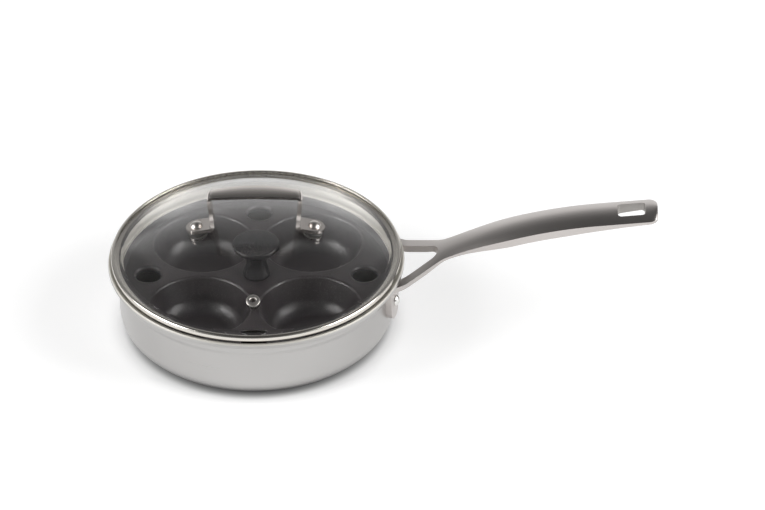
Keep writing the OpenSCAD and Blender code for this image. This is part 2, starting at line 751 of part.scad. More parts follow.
module lid_glass() color(glass) difference() {
    turned_sheet(glass_path, glass_radii, 0, -glass_t);
    at_vent() translate([0, 0, -glass_t - cut])
        cylinder(r = vent_r + eyelet_t + grommet_t, h = glass_t + 2 * cut);
    for (side = sides) at_foot(side)
        translate([0, 0, -glass_t - cut]) cylinder(r = lid_rivet_r, h = glass_t + 2 * cut);
}

module lid_band() color(steel) turned_sheet(band_path, band_radii, 0, -band_t);

module lid_seal() color(silicone) rotate_extrude() polygon(concat(
    face(seal_path, seal_radii, -band_t),
    [[seal_low_r, glass_rim_z - glass_t], [glass_r, glass_rim_z - glass_t],
     [glass_r, glass_rim_z], [seal_in_r, glass_rim_z]]));

module vent_grommet() color(silicone) at_vent() difference() {
    union() {
        cylinder(r = eyelet_flange_r - grommet_inset, h = grommet_t);
        translate([0, 0, -glass_t]) cylinder(r = vent_r + eyelet_t + grommet_t, h = glass_t + grommet_t);
    }
    translate([0, 0, -glass_t - cut]) cylinder(r = vent_r + eyelet_t, h = glass_t + 3 * cut);
}

module vent_eyelet() color(bright_steel) at_vent() difference() {
    union() {
        translate([0, 0, grommet_t]) intersection() {
            dome_head(eyelet_flange_r, eyelet_dome_h);
            cylinder(r = eyelet_flange_r, h = eyelet_h);
        }
        translate([0, 0, -glass_t - eyelet_tail])
            cylinder(r = vent_r + eyelet_t, h = eyelet_tail + glass_t + grommet_t + eyelet_h / 2);
    }
    translate([0, 0, -glass_t - eyelet_tail - cut])
        cylinder(r = vent_r, h = eyelet_tail + glass_t + grommet_t + eyelet_h + 2 * cut);
}

module vent_washer() color(bright_steel) at_vent()
    translate([0, 0, -glass_t - vent_washer_gap - vent_washer_t]) difference() {
        cylinder(r = eyelet_flange_r - vent_washer_inset, h = vent_washer_t);
        translate([0, 0, -cut]) cylinder(r = vent_r + eyelet_t, h = vent_washer_t + 2 * cut);
    }

// Outline of the bar and legs seen from above, widest at the middle
module bar_outline() {
    steps = 12;
    reach = grip_len / 2 + cut;
    function bar_half(t) = grip_w / 2 + grip_swell / 2 * (1 - t * t);
    polygon(concat(
        [for (i = [-steps:steps]) [reach * i / steps, -bar_half(i / steps)]],
        [for (i = [steps:-1:-steps]) [reach * i / steps, bar_half(i / steps)]]));
}

// Outline of a leg seen from the end, narrowing upwards from the foot to the bar
module leg_outline(low, high) {
    steps = 8;
    function leg_half(t) = lerp(foot_r, grip_w / 2, ramp(t, 0, 1));
    polygon(concat(
        [for (i = [0:steps]) [leg_half(i / steps), lerp(low, high, i / steps)]],
        [for (i = [steps:-1:0]) [-leg_half(i / steps), lerp(low, high, i / steps)]]));
}

module lid_handle() color(handle_steel) difference() {
    split_z = foot_point(leg_u, foot_top)[1] + leg_start_h;
    bar_z = grip_corner_z - 2 * grip_t;
    intersection() {
        rotate([90, 0, 0]) translate([0, 0, -foot_w]) linear_extrude(height = 2 * foot_w)
            polygon(sheet(grip_path, grip_radii, 0, grip_t));
        union() {
            translate([0, 0, bar_z]) linear_extrude(height = grip_top_z) bar_outline();
            rotate([90, 0, 90]) translate([0, 0, -grip_len]) linear_extrude(height = 2 * grip_len)
                leg_outline(split_z, bar_z);
            for (side = sides) {
                at_foot(side) translate([0, 0, -split_z]) cylinder(r = foot_r, h = 2 * split_z);
                translate([side > 0 ? 0 : -grip_rivet_x, -foot_r, 0]) cube([grip_rivet_x, foot_w, split_z]);
            }
        }
    }
    for (side = sides) at_foot(side) cylinder(r = lid_rivet_r, h = foot_top + cut);
}

module lid_rivet(side) color(bright_steel) at_foot(side) {
    bottom = -glass_t - inner_gasket_t - inner_washer_t;
    shank_end = inner_head_h / 2;
    translate([0, 0, bottom - shank_end])
        cylinder(r = lid_rivet_r, h = foot_top - bottom + shank_end + rivet_edge_h);
    translate([0, 0, foot_top]) cylinder(r = lid_rivet_head_r, h = rivet_edge_h);
    translate([0, 0, foot_top + rivet_edge_h]) dome_head(lid_rivet_head_r, lid_rivet_head_h - rivet_edge_h);
    translate([0, 0, bottom]) mirror([0, 0, 1])
        dome_head(lid_rivet_head_r - inner_head_inset, inner_head_h);
}
module lid_rivet_left() lid_rivet(-1);
module lid_rivet_right() lid_rivet(1);

module foot_gasket(side) color(silicone) difference() {
    at_foot(side) translate([0, 0, -cut]) cylinder(r = gasket_r, h = gasket_t + cut);
    under_dome(0);
    at_foot(side) translate([0, 0, -2 * cut]) cylinder(r = lid_rivet_r, h = gasket_t + 4 * cut);
}
module foot_gasket_left() foot_gasket(-1);
module foot_gasket_right() foot_gasket(1);

module inner_gasket(side) color(silicone) difference() {
    intersection() {
        at_foot(side) translate([0, 0, -glass_t - inner_gasket_t])
            cylinder(r = gasket_r, h = inner_gasket_t + cut);
        under_dome(-glass_t);
    }
    at_foot(side) translate([0, 0, -glass_t - inner_gasket_t - cut])
        cylinder(r = lid_rivet_r, h = inner_gasket_t + 3 * cut);
}
module inner_gasket_left() inner_gasket(-1);
module inner_gasket_right() inner_gasket(1);

module inner_washer(side) color(bright_steel) at_foot(side)
    translate([0, 0, -glass_t - inner_gasket_t - inner_washer_t]) difference() {
        cylinder(r = gasket_r - inner_washer_inset, h = inner_washer_t);
        translate([0, 0, -cut]) cylinder(r = lid_rivet_r, h = inner_washer_t + 2 * cut);
    }
module inner_washer_left() inner_washer(-1);
module inner_washer_right() inner_washer(1);

pan_outer_ply();
pan_core_ply();
pan_inner_ply();
long_handle();
handle_rivet_front();
handle_rivet_back();
egg_cup_tray();
egg_cup_back_right();
egg_cup_back_left();
egg_cup_front_left();
egg_cup_front_right();
tray_knob();
knob_sleeve();
knob_screw();
knob_washer();
lid_glass();
lid_band();
lid_seal();
vent_eyelet();
vent_grommet();
vent_washer();
lid_handle();
lid_rivet_left();
lid_rivet_right();
foot_gasket_left();
foot_gasket_right();
inner_gasket_left();
inner_gasket_right();
inner_washer_left();
inner_washer_right();
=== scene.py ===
"""Looks of an egg poacher pan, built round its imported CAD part.

The part's solids stay the measure of every size.  This script gives them their finishes, and stands smoother
shapes in the place of those whose curves and soft edges the solids draw with few faces.  Lengths are in millimetres
and angles in degrees where nothing else is said, and every mesh is brought to metres when it becomes an object.
"""
import logging
import math
from dataclasses import dataclass
from enum import Enum
from typing import Any, Callable, Optional, Sequence, Union

import bmesh
import bpy
from mathutils import Matrix, Vector


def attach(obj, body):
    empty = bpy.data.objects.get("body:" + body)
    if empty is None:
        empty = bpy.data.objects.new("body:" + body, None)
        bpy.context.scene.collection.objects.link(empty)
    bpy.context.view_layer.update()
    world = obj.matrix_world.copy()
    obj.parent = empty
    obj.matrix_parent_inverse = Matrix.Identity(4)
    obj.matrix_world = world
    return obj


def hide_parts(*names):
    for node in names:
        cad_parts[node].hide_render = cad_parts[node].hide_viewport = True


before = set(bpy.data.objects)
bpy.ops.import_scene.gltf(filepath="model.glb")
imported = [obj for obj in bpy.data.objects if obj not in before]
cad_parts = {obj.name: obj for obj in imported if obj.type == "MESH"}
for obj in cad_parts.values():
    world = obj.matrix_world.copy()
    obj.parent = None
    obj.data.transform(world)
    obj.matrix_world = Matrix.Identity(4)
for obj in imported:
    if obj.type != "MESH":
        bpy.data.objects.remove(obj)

log = logging.getLogger("egg_poacher")
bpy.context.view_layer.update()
MM = 0.001  # a millimetre in metres
JOIN = 1e-3  # points nearer than this become one
FINE_JOIN = 1e-4  # the same within one turned or laid shape
LEAST_BEND = 0.05  # the tightest rounding on a sheet's inner side

Triple = tuple[float, float, float]
Colour = Triple
Span = tuple[float, float]
Term = Union[float, "Signal"]


# Shader graphs


class Signal:
    """One output socket of a shader node, with Python's operators on it."""

    def __init__(self, graph: "Graph", socket: bpy.types.NodeSocket) -> None:
        """Keeps the socket and the graph that new nodes go into."""
        self.graph = graph
        self.socket = socket

    def take(self, name: str) -> "Signal":
        """Another output of the same node, by its name."""
        return Signal(self.graph, self.socket.node.outputs[name])

    def _math(self, operation: str, *terms: Term) -> "Signal":
        """A Math node over the given terms, in their order."""
        return self.graph.node("ShaderNodeMath", {"operation": operation}, dict(enumerate(terms)))

    def __add__(self, other: Term) -> "Signal":
        """self + other."""
        return self._math("ADD", self, other)

    def __radd__(self, other: float) -> "Signal":
        """other + self."""
        return self._math("ADD", other, self)

    def __sub__(self, other: Term) -> "Signal":
        """self - other."""
        return self._math("SUBTRACT", self, other)

    def __rsub__(self, other: float) -> "Signal":
        """other - self."""
        return self._math("SUBTRACT", other, self)

    def __mul__(self, other: Term) -> "Signal":
        """self times other."""
        return self._math("MULTIPLY", self, other)

    def __rmul__(self, other: float) -> "Signal":
        """other times self."""
        return self._math("MULTIPLY", other, self)

    def __truediv__(self, other: Term) -> "Signal":
        """self over other."""
        return self._math("DIVIDE", self, other)

    def __pow__(self, other: Term) -> "Signal":
        """self to the power of other."""
        return self._math("POWER", self, other)

    def clamped(self) -> "Signal":
        """The value held between 0 and 1."""
        return self.graph.node("ShaderNodeClamp", {}, {"Value": self})

    def stepped(self, low: float, high: float) -> "Signal":
        """A smooth step from 0 where the value is low to 1 where it is high."""
        settings = {"interpolation_type": "SMOOTHSTEP"}
        return self.graph.node("ShaderNodeMapRange", settings, {"Value": self, "From Min": low, "From Max": high})

    def swing(self, amount: float) -> "Signal":
        """A noise of 0 to 1 as an equal swing to both sides of 0."""
        return (self - 0.5) * amount


class Graph:
    """The node tree of one material or of the world."""

    def __init__(self, owner: Union[bpy.types.Material, bpy.types.World]) -> None:
        """Empties the owner's node tree and puts a fresh output into it.

        Args:
            owner: The material or the world.
        """
        owner.use_nodes = True
        self.owner = owner
        self.tree = owner.node_tree
        self.tree.nodes.clear()
        kind = "ShaderNodeOutputWorld" if isinstance(owner, bpy.types.World) else "ShaderNodeOutputMaterial"
        self.output = self.tree.nodes.new(kind)

    def node(
        self,
        kind: str,
        settings: Optional[dict[str, Any]] = None,
        values: Optional[dict[Union[int, str], Any]] = None,
    ) -> Signal:
        """Adds a node.

        Args:
            kind: The node's type name.
            settings: Its own settings, set first; stops is a colour ramp's list of place and brightness.
            values: A number, colour, vector or Signal for each input, by the input's name or number.

        Returns:
            The node's first output.
        """
        node = self.tree.nodes.new(kind)
        for key, value in (settings or {}).items():
            if key == "stops":
                self._set_stops(node.color_ramp, value)
            else:
                setattr(node, key, value)
        for key, value in (values or {}).items():
            self.feed(node.inputs[key], value)
        return Signal(self, node.outputs[0])

    def feed(self, socket: bpy.types.NodeSocket, value: Any) -> None:
        """Links a Signal to a socket, or writes a plain value on it.

        Args:
            socket: The input.
            value: A Signal, or what the socket itself holds.
        """
        if isinstance(value, Signal):
            self.tree.links.new(value.socket, socket)
        else:
            socket.default_value = value

    @staticmethod
    def _set_stops(ramp: bpy.types.ColorRamp, stops: Sequence[Span]) -> None:
        """Gives a colour ramp its stops.

        Args:
            ramp: The ramp.
            stops: Place and brightness of each stop.
        """
        while len(ramp.elements) < len(stops):
            ramp.elements.new(1.0)
        for element, (place, level) in zip(ramp.elements, stops):
            element.position = place
            element.color = (level, level, level, 1.0)

    def place(self) -> Signal:
        """The point on the piece, in metres, in the part's own frame."""
        return self.node("ShaderNodeTexCoord").take("Object")

    def split(self, vector: Signal) -> tuple[Signal, Signal, Signal]:
        """The three parts of a vector."""
        parts = self.node("ShaderNodeSeparateXYZ", {}, {0: vector})
        return parts, parts.take("Y"), parts.take("Z")

    def joined(self, x: Term, y: Term, z: Term) -> Signal:
        """A vector of three values."""
        return self.node("ShaderNodeCombineXYZ", {}, {0: x, 1: y, 2: z})

    def grey(self, level: Signal) -> Signal:
        """A grey of this brightness."""
        return self.joined(level, level, level)

    def noise(self, vector: Signal, scale: float, detail: float = 2.0, roughness: float = 0.5) -> Signal:
        """Noise from 0 to 1 over a vector."""
        values = {"Vector": vector, "Scale": scale, "Detail": detail, "Roughness": roughness}
        return self.node("ShaderNodeTexNoise", {}, values)

    def blended(self, share: Signal, first: Colour, second: Colour) -> Signal:
        """A colour between two colours."""
        values = {0: share, 6: (*first, 1.0), 7: (*second, 1.0)}
        return Signal(self, self.node("ShaderNodeMix", {"data_type": "RGBA"}, values).socket.node.outputs[2])

    def bump(self, height: Signal, depth: float) -> Signal:
        """A surface normal from a height of 0 to 1, which stands for this depth."""
        return self.node("ShaderNodeBump", {}, {"Strength": 1.0, "Distance": depth * MM, "Height": height})

    def principled(self, values: dict[str, Any]) -> Signal:
        """The Principled shader with these values on its sockets."""
        return self.node("ShaderNodeBsdfPrincipled", {}, values)

    def show(self, shader: Signal) -> None:
        """Shows this shader."""
        self.feed(self.output.inputs["Surface"], shader)


# Finishes


class Grain(Enum):
    """The way that a metal's fine lines run."""

    TURNED = "round the pan's axis"
    LENGTHWISE = "along the handle"
    NONE = "no lines"


@dataclass(frozen=True)
class Finish:
    """What a surface looks like."""

    name: str

    def shader(self, graph: Graph) -> Signal:
        """The finish's shader in the given graph."""
        raise NotImplementedError

    def material(self) -> bpy.types.Material:
        """Makes the finish's material.

        Returns:
            A new material.
        """
        graph = Graph(bpy.data.materials.new(self.name))
        graph.show(self.shader(graph))
        return graph.owner


@dataclass(frozen=True)
class Steel(Finish):
    """Bare metal with fine lines from brushing or turning.

    Args:
        spread: How far the roughness swings.
        cloud: How much darker the metal is in its soft patches.
        metal: How metallic it is, less where a worn or blasted face scatters the light.
        cloud_scale: Patches in a metre.
        cloud_share: Share of the patches in the tone, the rest is the lines'.
        stretch: Changes along a lengthwise line against those across it.
        laps: Changes along a turned line, on the way round.
        line_detail: Detail and roughness of the lines' noise.
    """

    colour: Colour
    roughness: float
    spread: float = 0.10
    grain: Grain = Grain.NONE
    lines_per_mm: float = 2.2
    line_depth: float = 0.004
    cloud: float = 0.06
    metal: float = 1.0
    cloud_scale: float = 22.0
    cloud_share: float = 0.7
    stretch: float = 0.02
    laps: float = 2.0
    line_detail: Span = (3.0, 0.6)

    def _lines(self, graph: Graph, place: Signal) -> Signal:
        """Noise that is drawn out along the metal's lines.

        Args:
            graph: The node tree that it goes into.
            place: The point on the piece.

        Returns:
            The noise, from 0 to 1.
        """
        x, y, z = graph.split(place)
        pitch = self.lines_per_mm / MM
        if self.grain is Grain.TURNED:
            above_zero = 1e-8
            radius = (x * x + y * y + above_zero) ** 0.5
            drawn = graph.joined(x / radius * self.laps, y / radius * self.laps, (radius + z) * pitch)
            return graph.noise(drawn, 1.0, *self.line_detail)
        if self.grain is Grain.LENGTHWISE:
            drawn = graph.joined(x * (self.stretch * pitch), y * pitch, z * pitch)
            return graph.noise(drawn, 1.0, *self.line_detail)
        return graph.noise(place, 0.5 * pitch, *self.line_detail)

    def shader(self, graph: Graph) -> Signal:
        """The metal's shader.

        Args:
            graph: The node tree that it goes into.

        Returns:
            The shader.
        """
        place = graph.place()
        lines, cloud = self._lines(graph, place), graph.noise(place, self.cloud_scale)
        dark = tuple(level * (1 - self.cloud) for level in self.colour)
        tone = cloud * self.cloud_share + lines * (1 - self.cloud_share)
        return graph.principled({
            "Base Color": graph.blended(tone, dark, self.colour),
            "Metallic": self.metal,
            "Roughness": lines.swing(self.spread) + cloud.swing(0.5 * self.spread) + self.roughness,
            "Normal": graph.bump(lines, self.line_depth),
        })


@dataclass(frozen=True)
class Coated(Finish):
    """A coating, moulding or rubber with a fine grain.

    Args:
        speck: Colour of the grain's peaks.
        spread: How far the grain swings the roughness.
        specks_at: Heights of the grain over which its peaks begin.
        cloud_spread: How far soft patches swing the roughness.
    """

    colour: Colour
    speck: Colour
    roughness: float
    spread: float
    grains_per_mm: float
    grain_depth: float
    grain_detail: Span = (3.0, 0.65)
    specks_at: Span = (0.52, 0.72)
    cloud_scale: float = 30.0
    cloud_spread: float = 0.06

    def shader(self, graph: Graph) -> Signal:
        """The coating's shader.

        Args:
            graph: The node tree that it goes into.

        Returns:
            The shader.
        """
        place = graph.place()
        grain = graph.noise(place, self.grains_per_mm / MM, *self.grain_detail)
        cloud = graph.noise(place, self.cloud_scale)
        return graph.principled({
            "Base Color": graph.blended(grain.stepped(*self.specks_at), self.colour, self.speck),
            "Roughness": grain.swing(self.spread) + cloud.swing(self.cloud_spread) + self.roughness,
            "Normal": graph.bump(grain, self.grain_depth),
        })


@dataclass(frozen=True)
class ClearGlass(Finish):
    """Clear tempered glass that lets the lamps through."""

    tint: Colour = (0.99, 0.985, 0.98)
    index: float = 1.5
    lamp_tint: Colour = (0.93, 0.93, 0.925)
    wave_scale: float = 14.0
    wave_depth: float = 0.02

    def shader(self, graph: Graph) -> Signal:
        """The glass's shader.

        Args:
            graph: The node tree that it goes into.

        Returns:
            The shader.
        """
        glass = graph.principled({
            "Base Color": (*self.tint, 1.0),
            "Roughness": 0.0,
            "IOR": self.index,
            "Transmission Weight": 1.0,
            "Normal": graph.bump(graph.noise(graph.place(), self.wave_scale, 1.0), self.wave_depth),
        })
        open_air = graph.node("ShaderNodeBsdfTransparent", {}, {0: (*self.lamp_tint, 1.0)})
        lamps = graph.node("ShaderNodeLightPath").take("Is Shadow Ray")
        return graph.node("ShaderNodeMixShader", {}, {0: lamps, 1: glass, 2: open_air})


@dataclass(frozen=True)
class PaleFloor(Finish):
    """A pale floor that shows white to the camera and in metal and glass, with a painted contact shadow where the pan
    stands.

    Args:
        white: How pale its paint is.
        glow: How far the floor is lifted to white.
        glow_shadow_edge: Distances from the pan's axis over which that comes in, so that a painted shadow stays under
            the pan.
        shadow_edge: Distances from the pan's axis over which the painted shadow under the pan gives way to the pale
            paint.
        painted_shadow_share: How pale the paint is under the pan, against the rest, as a painted contact shadow.
    """

    white: float = 0.60
    glow: float = 0.52
    glow_shadow_edge: Span = (80.0, 108.0)
    shadow_edge: Span = (88.0, 96.0)
    painted_shadow_share: float = 0.3

    def shader(self, graph: Graph) -> Signal:
        """The floor's shader.

        Args:
            graph: The node tree that it goes into.

        Returns:
            The shader.
        """
        rays = graph.node("ShaderNodeLightPath")
        seen = (rays + rays.take("Is Glossy Ray") + rays.take("Is Transmission Ray")).clamped()
        x, y, _ = graph.split(graph.place())
        radius = (x * x + y * y) ** 0.5 / MM
        # Painted contact shadow: the paint is darker under the pan's base.
        shadowed_paint = radius.stepped(*self.shadow_edge) * (1 - self.painted_shadow_share) + self.painted_shadow_share
        return graph.principled({
            "Base Color": graph.grey(shadowed_paint * self.white),
            "Roughness": 1.0,
            "Specular IOR Level": 0.0,
            # Painted contact shadow: the glow is held back near the pan's base.
            "Emission Color": graph.grey(seen * radius.stepped(*self.glow_shadow_edge) * self.glow),
            "Emission Strength": 1.0,
        })


PAN_STEEL = Steel("brushed pan steel", (0.492, 0.483, 0.474), 0.30, 0.10, Grain.TURNED, 1.6, 0.003)
PAN_INSIDE = Steel("satin pan inside", (0.66, 0.64, 0.59), 0.50, 0.10, Grain.TURNED, 1.6, 0.003, metal=0.55)
CUT_EDGE = Steel("bare cut edge", (0.62, 0.60, 0.56), 0.42, 0.10, Grain.TURNED, 1.6, 0.003, metal=0.6)
BAND_STEEL = Steel("rolled band steel", (0.70, 0.67, 0.62), 0.18, 0.06, Grain.TURNED, 1.2, 0.002)
SLEEVE_BRASS = Steel("turned brass", (0.75, 0.56, 0.26), 0.25, 0.06, Grain.TURNED, 3.0, 0.004)
CAST_STEEL = Steel("satin cast handle", (0.58, 0.545, 0.525), 0.31, 0.07, Grain.LENGTHWISE, 2.5, 0.003)
STRAP_STEEL = Steel("satin strap steel", (0.62, 0.58, 0.55), 0.24, 0.05, Grain.LENGTHWISE, 2.5, 0.0015)
SLOT_STEEL = Steel("rough slot wall", (0.50, 0.48, 0.46), 0.55, 0.20, Grain.NONE, 3.0, 0.02, cloud=0.45)
RIVET_STEEL = Steel("polished rivet steel", (0.80, 0.79, 0.77), 0.16, 0.05)
HEAD_STEEL = Steel("satin rivet heads", (0.60, 0.57, 0.54), 0.33, 0.05)
NON_STICK = Coated("non stick coating", (0.021, 0.018, 0.019), (0.060, 0.054, 0.056), 0.36, 0.18, 1.3, 0.020)
PHENOLIC = Coated("moulded knob resin", (0.022, 0.021, 0.022), (0.028, 0.027, 0.028), 0.27, 0.04, 2.5, 0.001)
CLEAR_SEAL = Coated("clear silicone seal", (0.40, 0.39, 0.35), (0.46, 0.45, 0.41), 0.45, 0.10, 2.0, 0.004)
SILICONE = Coated("silicone rubber", (0.055, 0.053, 0.050), (0.075, 0.072, 0.070), 0.60, 0.10, 2.0, 0.006)
LID_GLASS = ClearGlass("clear lid glass")
FLOOR_PAINT = PaleFloor("pale floor")


# Mesh tools


def eased(x: float, a: float, b: float) -> float:
    """A smooth step from 0 at a to 1 at b."""
    t = min(1.0, max(0.0, (x - a) / (b - a)))
    return t * t * (3 - 2 * t)


def larger(a: float, b: float, softness: float) -> float:
    """The larger of two values, with a soft change from one to the other."""
    return (a + b + math.sqrt((a - b) ** 2 + softness)) / 2


def even(a: float, b: float, count: int) -> list[float]:
    """Values at equal steps from a to b, both ends among them."""
    return [a + (b - a) * i / count for i in range(count + 1)]


def spot(x: float = 0.0, y: float = 0.0, z: float = 0.0, *turns: tuple[float, str]) -> Matrix:
    """A placing matrix.

    Args:
        x: Shift along X.
        y: Shift along Y.
        z: Shift along Z.
        turns: Pairs of degrees and axis, the last one turned first.

    Returns:
        The shift after all the turns.
    """
    matrix = Matrix.Translation((x, y, z))
    for degrees, axis in turns:
        matrix = matrix @ Matrix.Rotation(math.radians(degrees), 4, axis)
    return matrix


@dataclass(frozen=True)
class Corner:
    """A corner of a profile.

    Args:
        x: Distance from the axis.
        z: Height.
        radius: Radius of its rounding, 0 for a sharp corner.
    """

    x: float
    z: float
    radius: float = 0.0


def sheet_profile(path: Sequence[Corner], thickness: float, edge: float = 0.0) -> list[Corner]:
    """The outline of a sheet that lies to the left of a path.

    Args:
        path: The face that the path follows.
        thickness: The sheet's thickness, below 0 for a sheet to the right.
        edge: Rounding of the sheet's two ends, where they stand clear of the axis.

    Returns:
        The corners of the path, then those of the far face on the way back.
    """
    points = [Vector((c.x, c.z)) for c in path]
    ways = [(b - a).normalized() for a, b in zip(points, points[1:])]
    near, far = list(path), []
    for i, (corner, point) in enumerate(zip(path, points)):
        before, after = ways[max(i - 1, 0)], ways[min(i, len(ways) - 1)]
        left_before, left_after = Vector((-before.y, before.x)), Vector((-after.y, after.x))
        moved = point + (left_before + left_after) / (1 + left_before.dot(left_after)) * thickness
        turn = before.x * after.y - before.y * after.x
        radius = max(LEAST_BEND, corner.radius - math.copysign(thickness, turn)) if corner.radius > 0 else 0.0
        far.append(Corner(max(0.0, moved.x), moved.y, radius))
    for i in (0, -1):
        if path[i].x > 0:
            near[i] = Corner(path[i].x, path[i].z, edge)
            far[i] = Corner(far[i].x, far[i].z, edge)
    return near + far[::-1]


class Shape:
    """A mesh in the making."""

    def __init__(self) -> None:
        """Starts an empty mesh."""
        self.bm = bmesh.new()

    def everything(self) -> list[Any]:
        """All points, edges and faces."""
        return self.bm.verts[:] + self.bm.edges[:] + self.bm.faces[:]

    def wire(self, corners: Sequence[Corner], closed: bool, arc_steps: int = 8) -> list[bmesh.types.BMEdge]:
        """Draws a profile in the XZ plane and rounds its corners.

        Args:
            corners: The profile's corners in order.
            closed: Whether the last corner joins the first.
            arc_steps: Edges in each rounding.

        Returns:
            The profile's edges.
        """
        known = set(self.bm.edges)
        verts = [self.bm.verts.new((c.x, 0.0, c.z)) for c in corners]
        for a, b in zip(verts, verts[1:] + (verts[:1] if closed else [])):
            self.bm.edges.new((a, b))
        for vert, corner in zip(verts, corners):
            if corner.radius > 0:
                arms = [edge.other_vert(vert).co - vert.co for edge in vert.link_edges]
                setback = corner.radius * math.tan((math.pi - arms[0].angle(arms[1])) / 2)
                bmesh.ops.bevel(
                    self.bm, geom=[vert], offset=setback, offset_type="OFFSET", segments=arc_steps,
                    profile=0.5, affect="VERTICES", material=-1, clamp_overlap=False,
                )
        return [edge for edge in self.bm.edges if edge not in known]

    def walked(self) -> list[Vector]:
        """Follows one open wire.

        Returns:
            Its points in their order, from its end on the +X side.
        """
        here = max((v for v in self.bm.verts if len(v.link_edges) == 1), key=lambda v: v.co.x)
        line, edge = [here.co.copy()], here.link_edges[0]
        while edge:
            here = edge.other_vert(here)
            line.append(here.co.copy())
            edge = next((e for e in here.link_edges if e is not edge), None)
        return line

    def turned(
        self, corners: Sequence[Corner], closed: bool = False, steps: int = 64, arc_steps: int = 8, finish: int = 0
    ) -> "Shape":
        """Turns a profile round the Z axis.

        Args:
            corners: The profile's corners in order.
            closed: Whether the last corner joins the first.
            steps: Faces round the axis.
            arc_steps: Edges in each rounding.
            finish: Number of the finish that the new faces take.

        Returns:
            The shape itself.
        """
        known = set(self.bm.faces)
        edges = self.wire(corners, closed, arc_steps)
        verts = list(dict.fromkeys(v for e in edges for v in e.verts))
        bmesh.ops.spin(
            self.bm, geom=verts + edges, cent=(0, 0, 0), axis=(0, 0, 1), angle=math.tau,
            steps=steps, use_merge=True, use_duplicate=False,
        )
        for face in self.bm.faces:
            if face not in known:
                face.material_index = finish
        return self.merged(FINE_JOIN)

    def laid(self, rows: int, columns: int, point: Callable[[int, int], Vector]) -> "Shape":
        """Lays a grid of faces over points.

        Args:
            rows: Faces along the grid.
            columns: Faces across it.
            point: Gives the point at a row's and a column's number.

        Returns:
            The shape itself.
        """
        bmesh.ops.create_grid(self.bm, x_segments=rows, y_segments=columns, size=0.5)
        for vert in self.bm.verts:
            vert.co = point(round((vert.co.x + 0.5) * rows), round((vert.co.y + 0.5) * columns))
        return self

    def merged(self, distance: float = JOIN) -> "Shape":
        """Joins points that lie together and drops what has no area."""
        bmesh.ops.remove_doubles(self.bm, verts=self.bm.verts, dist=distance)
        return self

    def mirrored(self, axis: str) -> "Shape":
        """Adds the mirror image and joins the two halves."""
        bmesh.ops.mirror(self.bm, geom=self.everything(), axis=axis, merge_dist=JOIN)
        return self.merged()

    def moved(self, matrix: Matrix) -> "Shape":
        """Moves the whole mesh."""
        bmesh.ops.transform(self.bm, matrix=matrix, verts=self.bm.verts)
        return self

    def add(self, other: "Shape") -> "Shape":
        """Adds a copy of another shape, and ends that one.

        Args:
            other: The shape that is used up.

        Returns:
            The shape itself.
        """
        mesh = bpy.data.meshes.new("part")
        other.bm.to_mesh(mesh)
        other.bm.free()
        self.bm.from_mesh(mesh)
        bpy.data.meshes.remove(mesh)
        return self

    def facing_out(self) -> "Shape":
        """Turns every face outwards."""
        bmesh.ops.recalc_face_normals(self.bm, faces=self.bm.faces)
        return self

    def facing_up(self, guide: Callable[..., bmesh.types.BMFace]) -> "Shape":
        """Turns an open sheet's faces all one way, so that one of them looks up.

        Args:
            guide: max where the highest face is to look up, min for the lowest.

        Returns:
            The shape itself.
        """
        self.facing_out()
        if guide(self.bm.faces, key=lambda face: face.calc_center_median().z).normal.z < 0:
            bmesh.ops.reverse_faces(self.bm, faces=self.bm.faces[:])
        return self

    def ended(self, name: str) -> bpy.types.Object:
        """Ends the shape as an object of the scene.

        Args:
            name: The object's name.

        Returns:
            The object, in metres.
        """
        bmesh.ops.scale(self.bm, vec=(MM, MM, MM), verts=self.bm.verts)
        mesh = bpy.data.meshes.new(name)
        self.bm.to_mesh(mesh)
        self.bm.free()
        obj = bpy.data.objects.new(name, mesh)
        bpy.context.scene.collection.objects.link(obj)
        return obj


def soften(obj: bpy.types.Object, width: float, sharp_deg: float) -> None:
    """Rounds an object's sharp edges.

    Args:
        obj: The object.
        width: Width of the rounding.
        sharp_deg: Edges that turn more than this are rounded.
    """
    bevel = obj.modifiers.new("soft edges", "BEVEL")
    bevel.width = width * MM
    bevel.segments = 3
    bevel.limit_method = "ANGLE"
    bevel.angle_limit = math.radians(sharp_deg)
    bevel.harden_normals = True


def thicken(obj: bpy.types.Object, thickness: float, is_even: bool, rim_finish: int = 0) -> None:
    """Gives a skin its sheet, below the skin's faces.

    Args:
        obj: The object.
        thickness: The sheet's thickness.
        is_even: Whether bends keep the thickness.
        rim_finish: How many finishes further on the cut edges take theirs.
    """
    sheet = obj.modifiers.new("sheet", "SOLIDIFY")
    sheet.thickness = thickness * MM
    sheet.offset = -1.0
    sheet.use_even_offset = is_even
    sheet.material_offset_rim = rim_finish


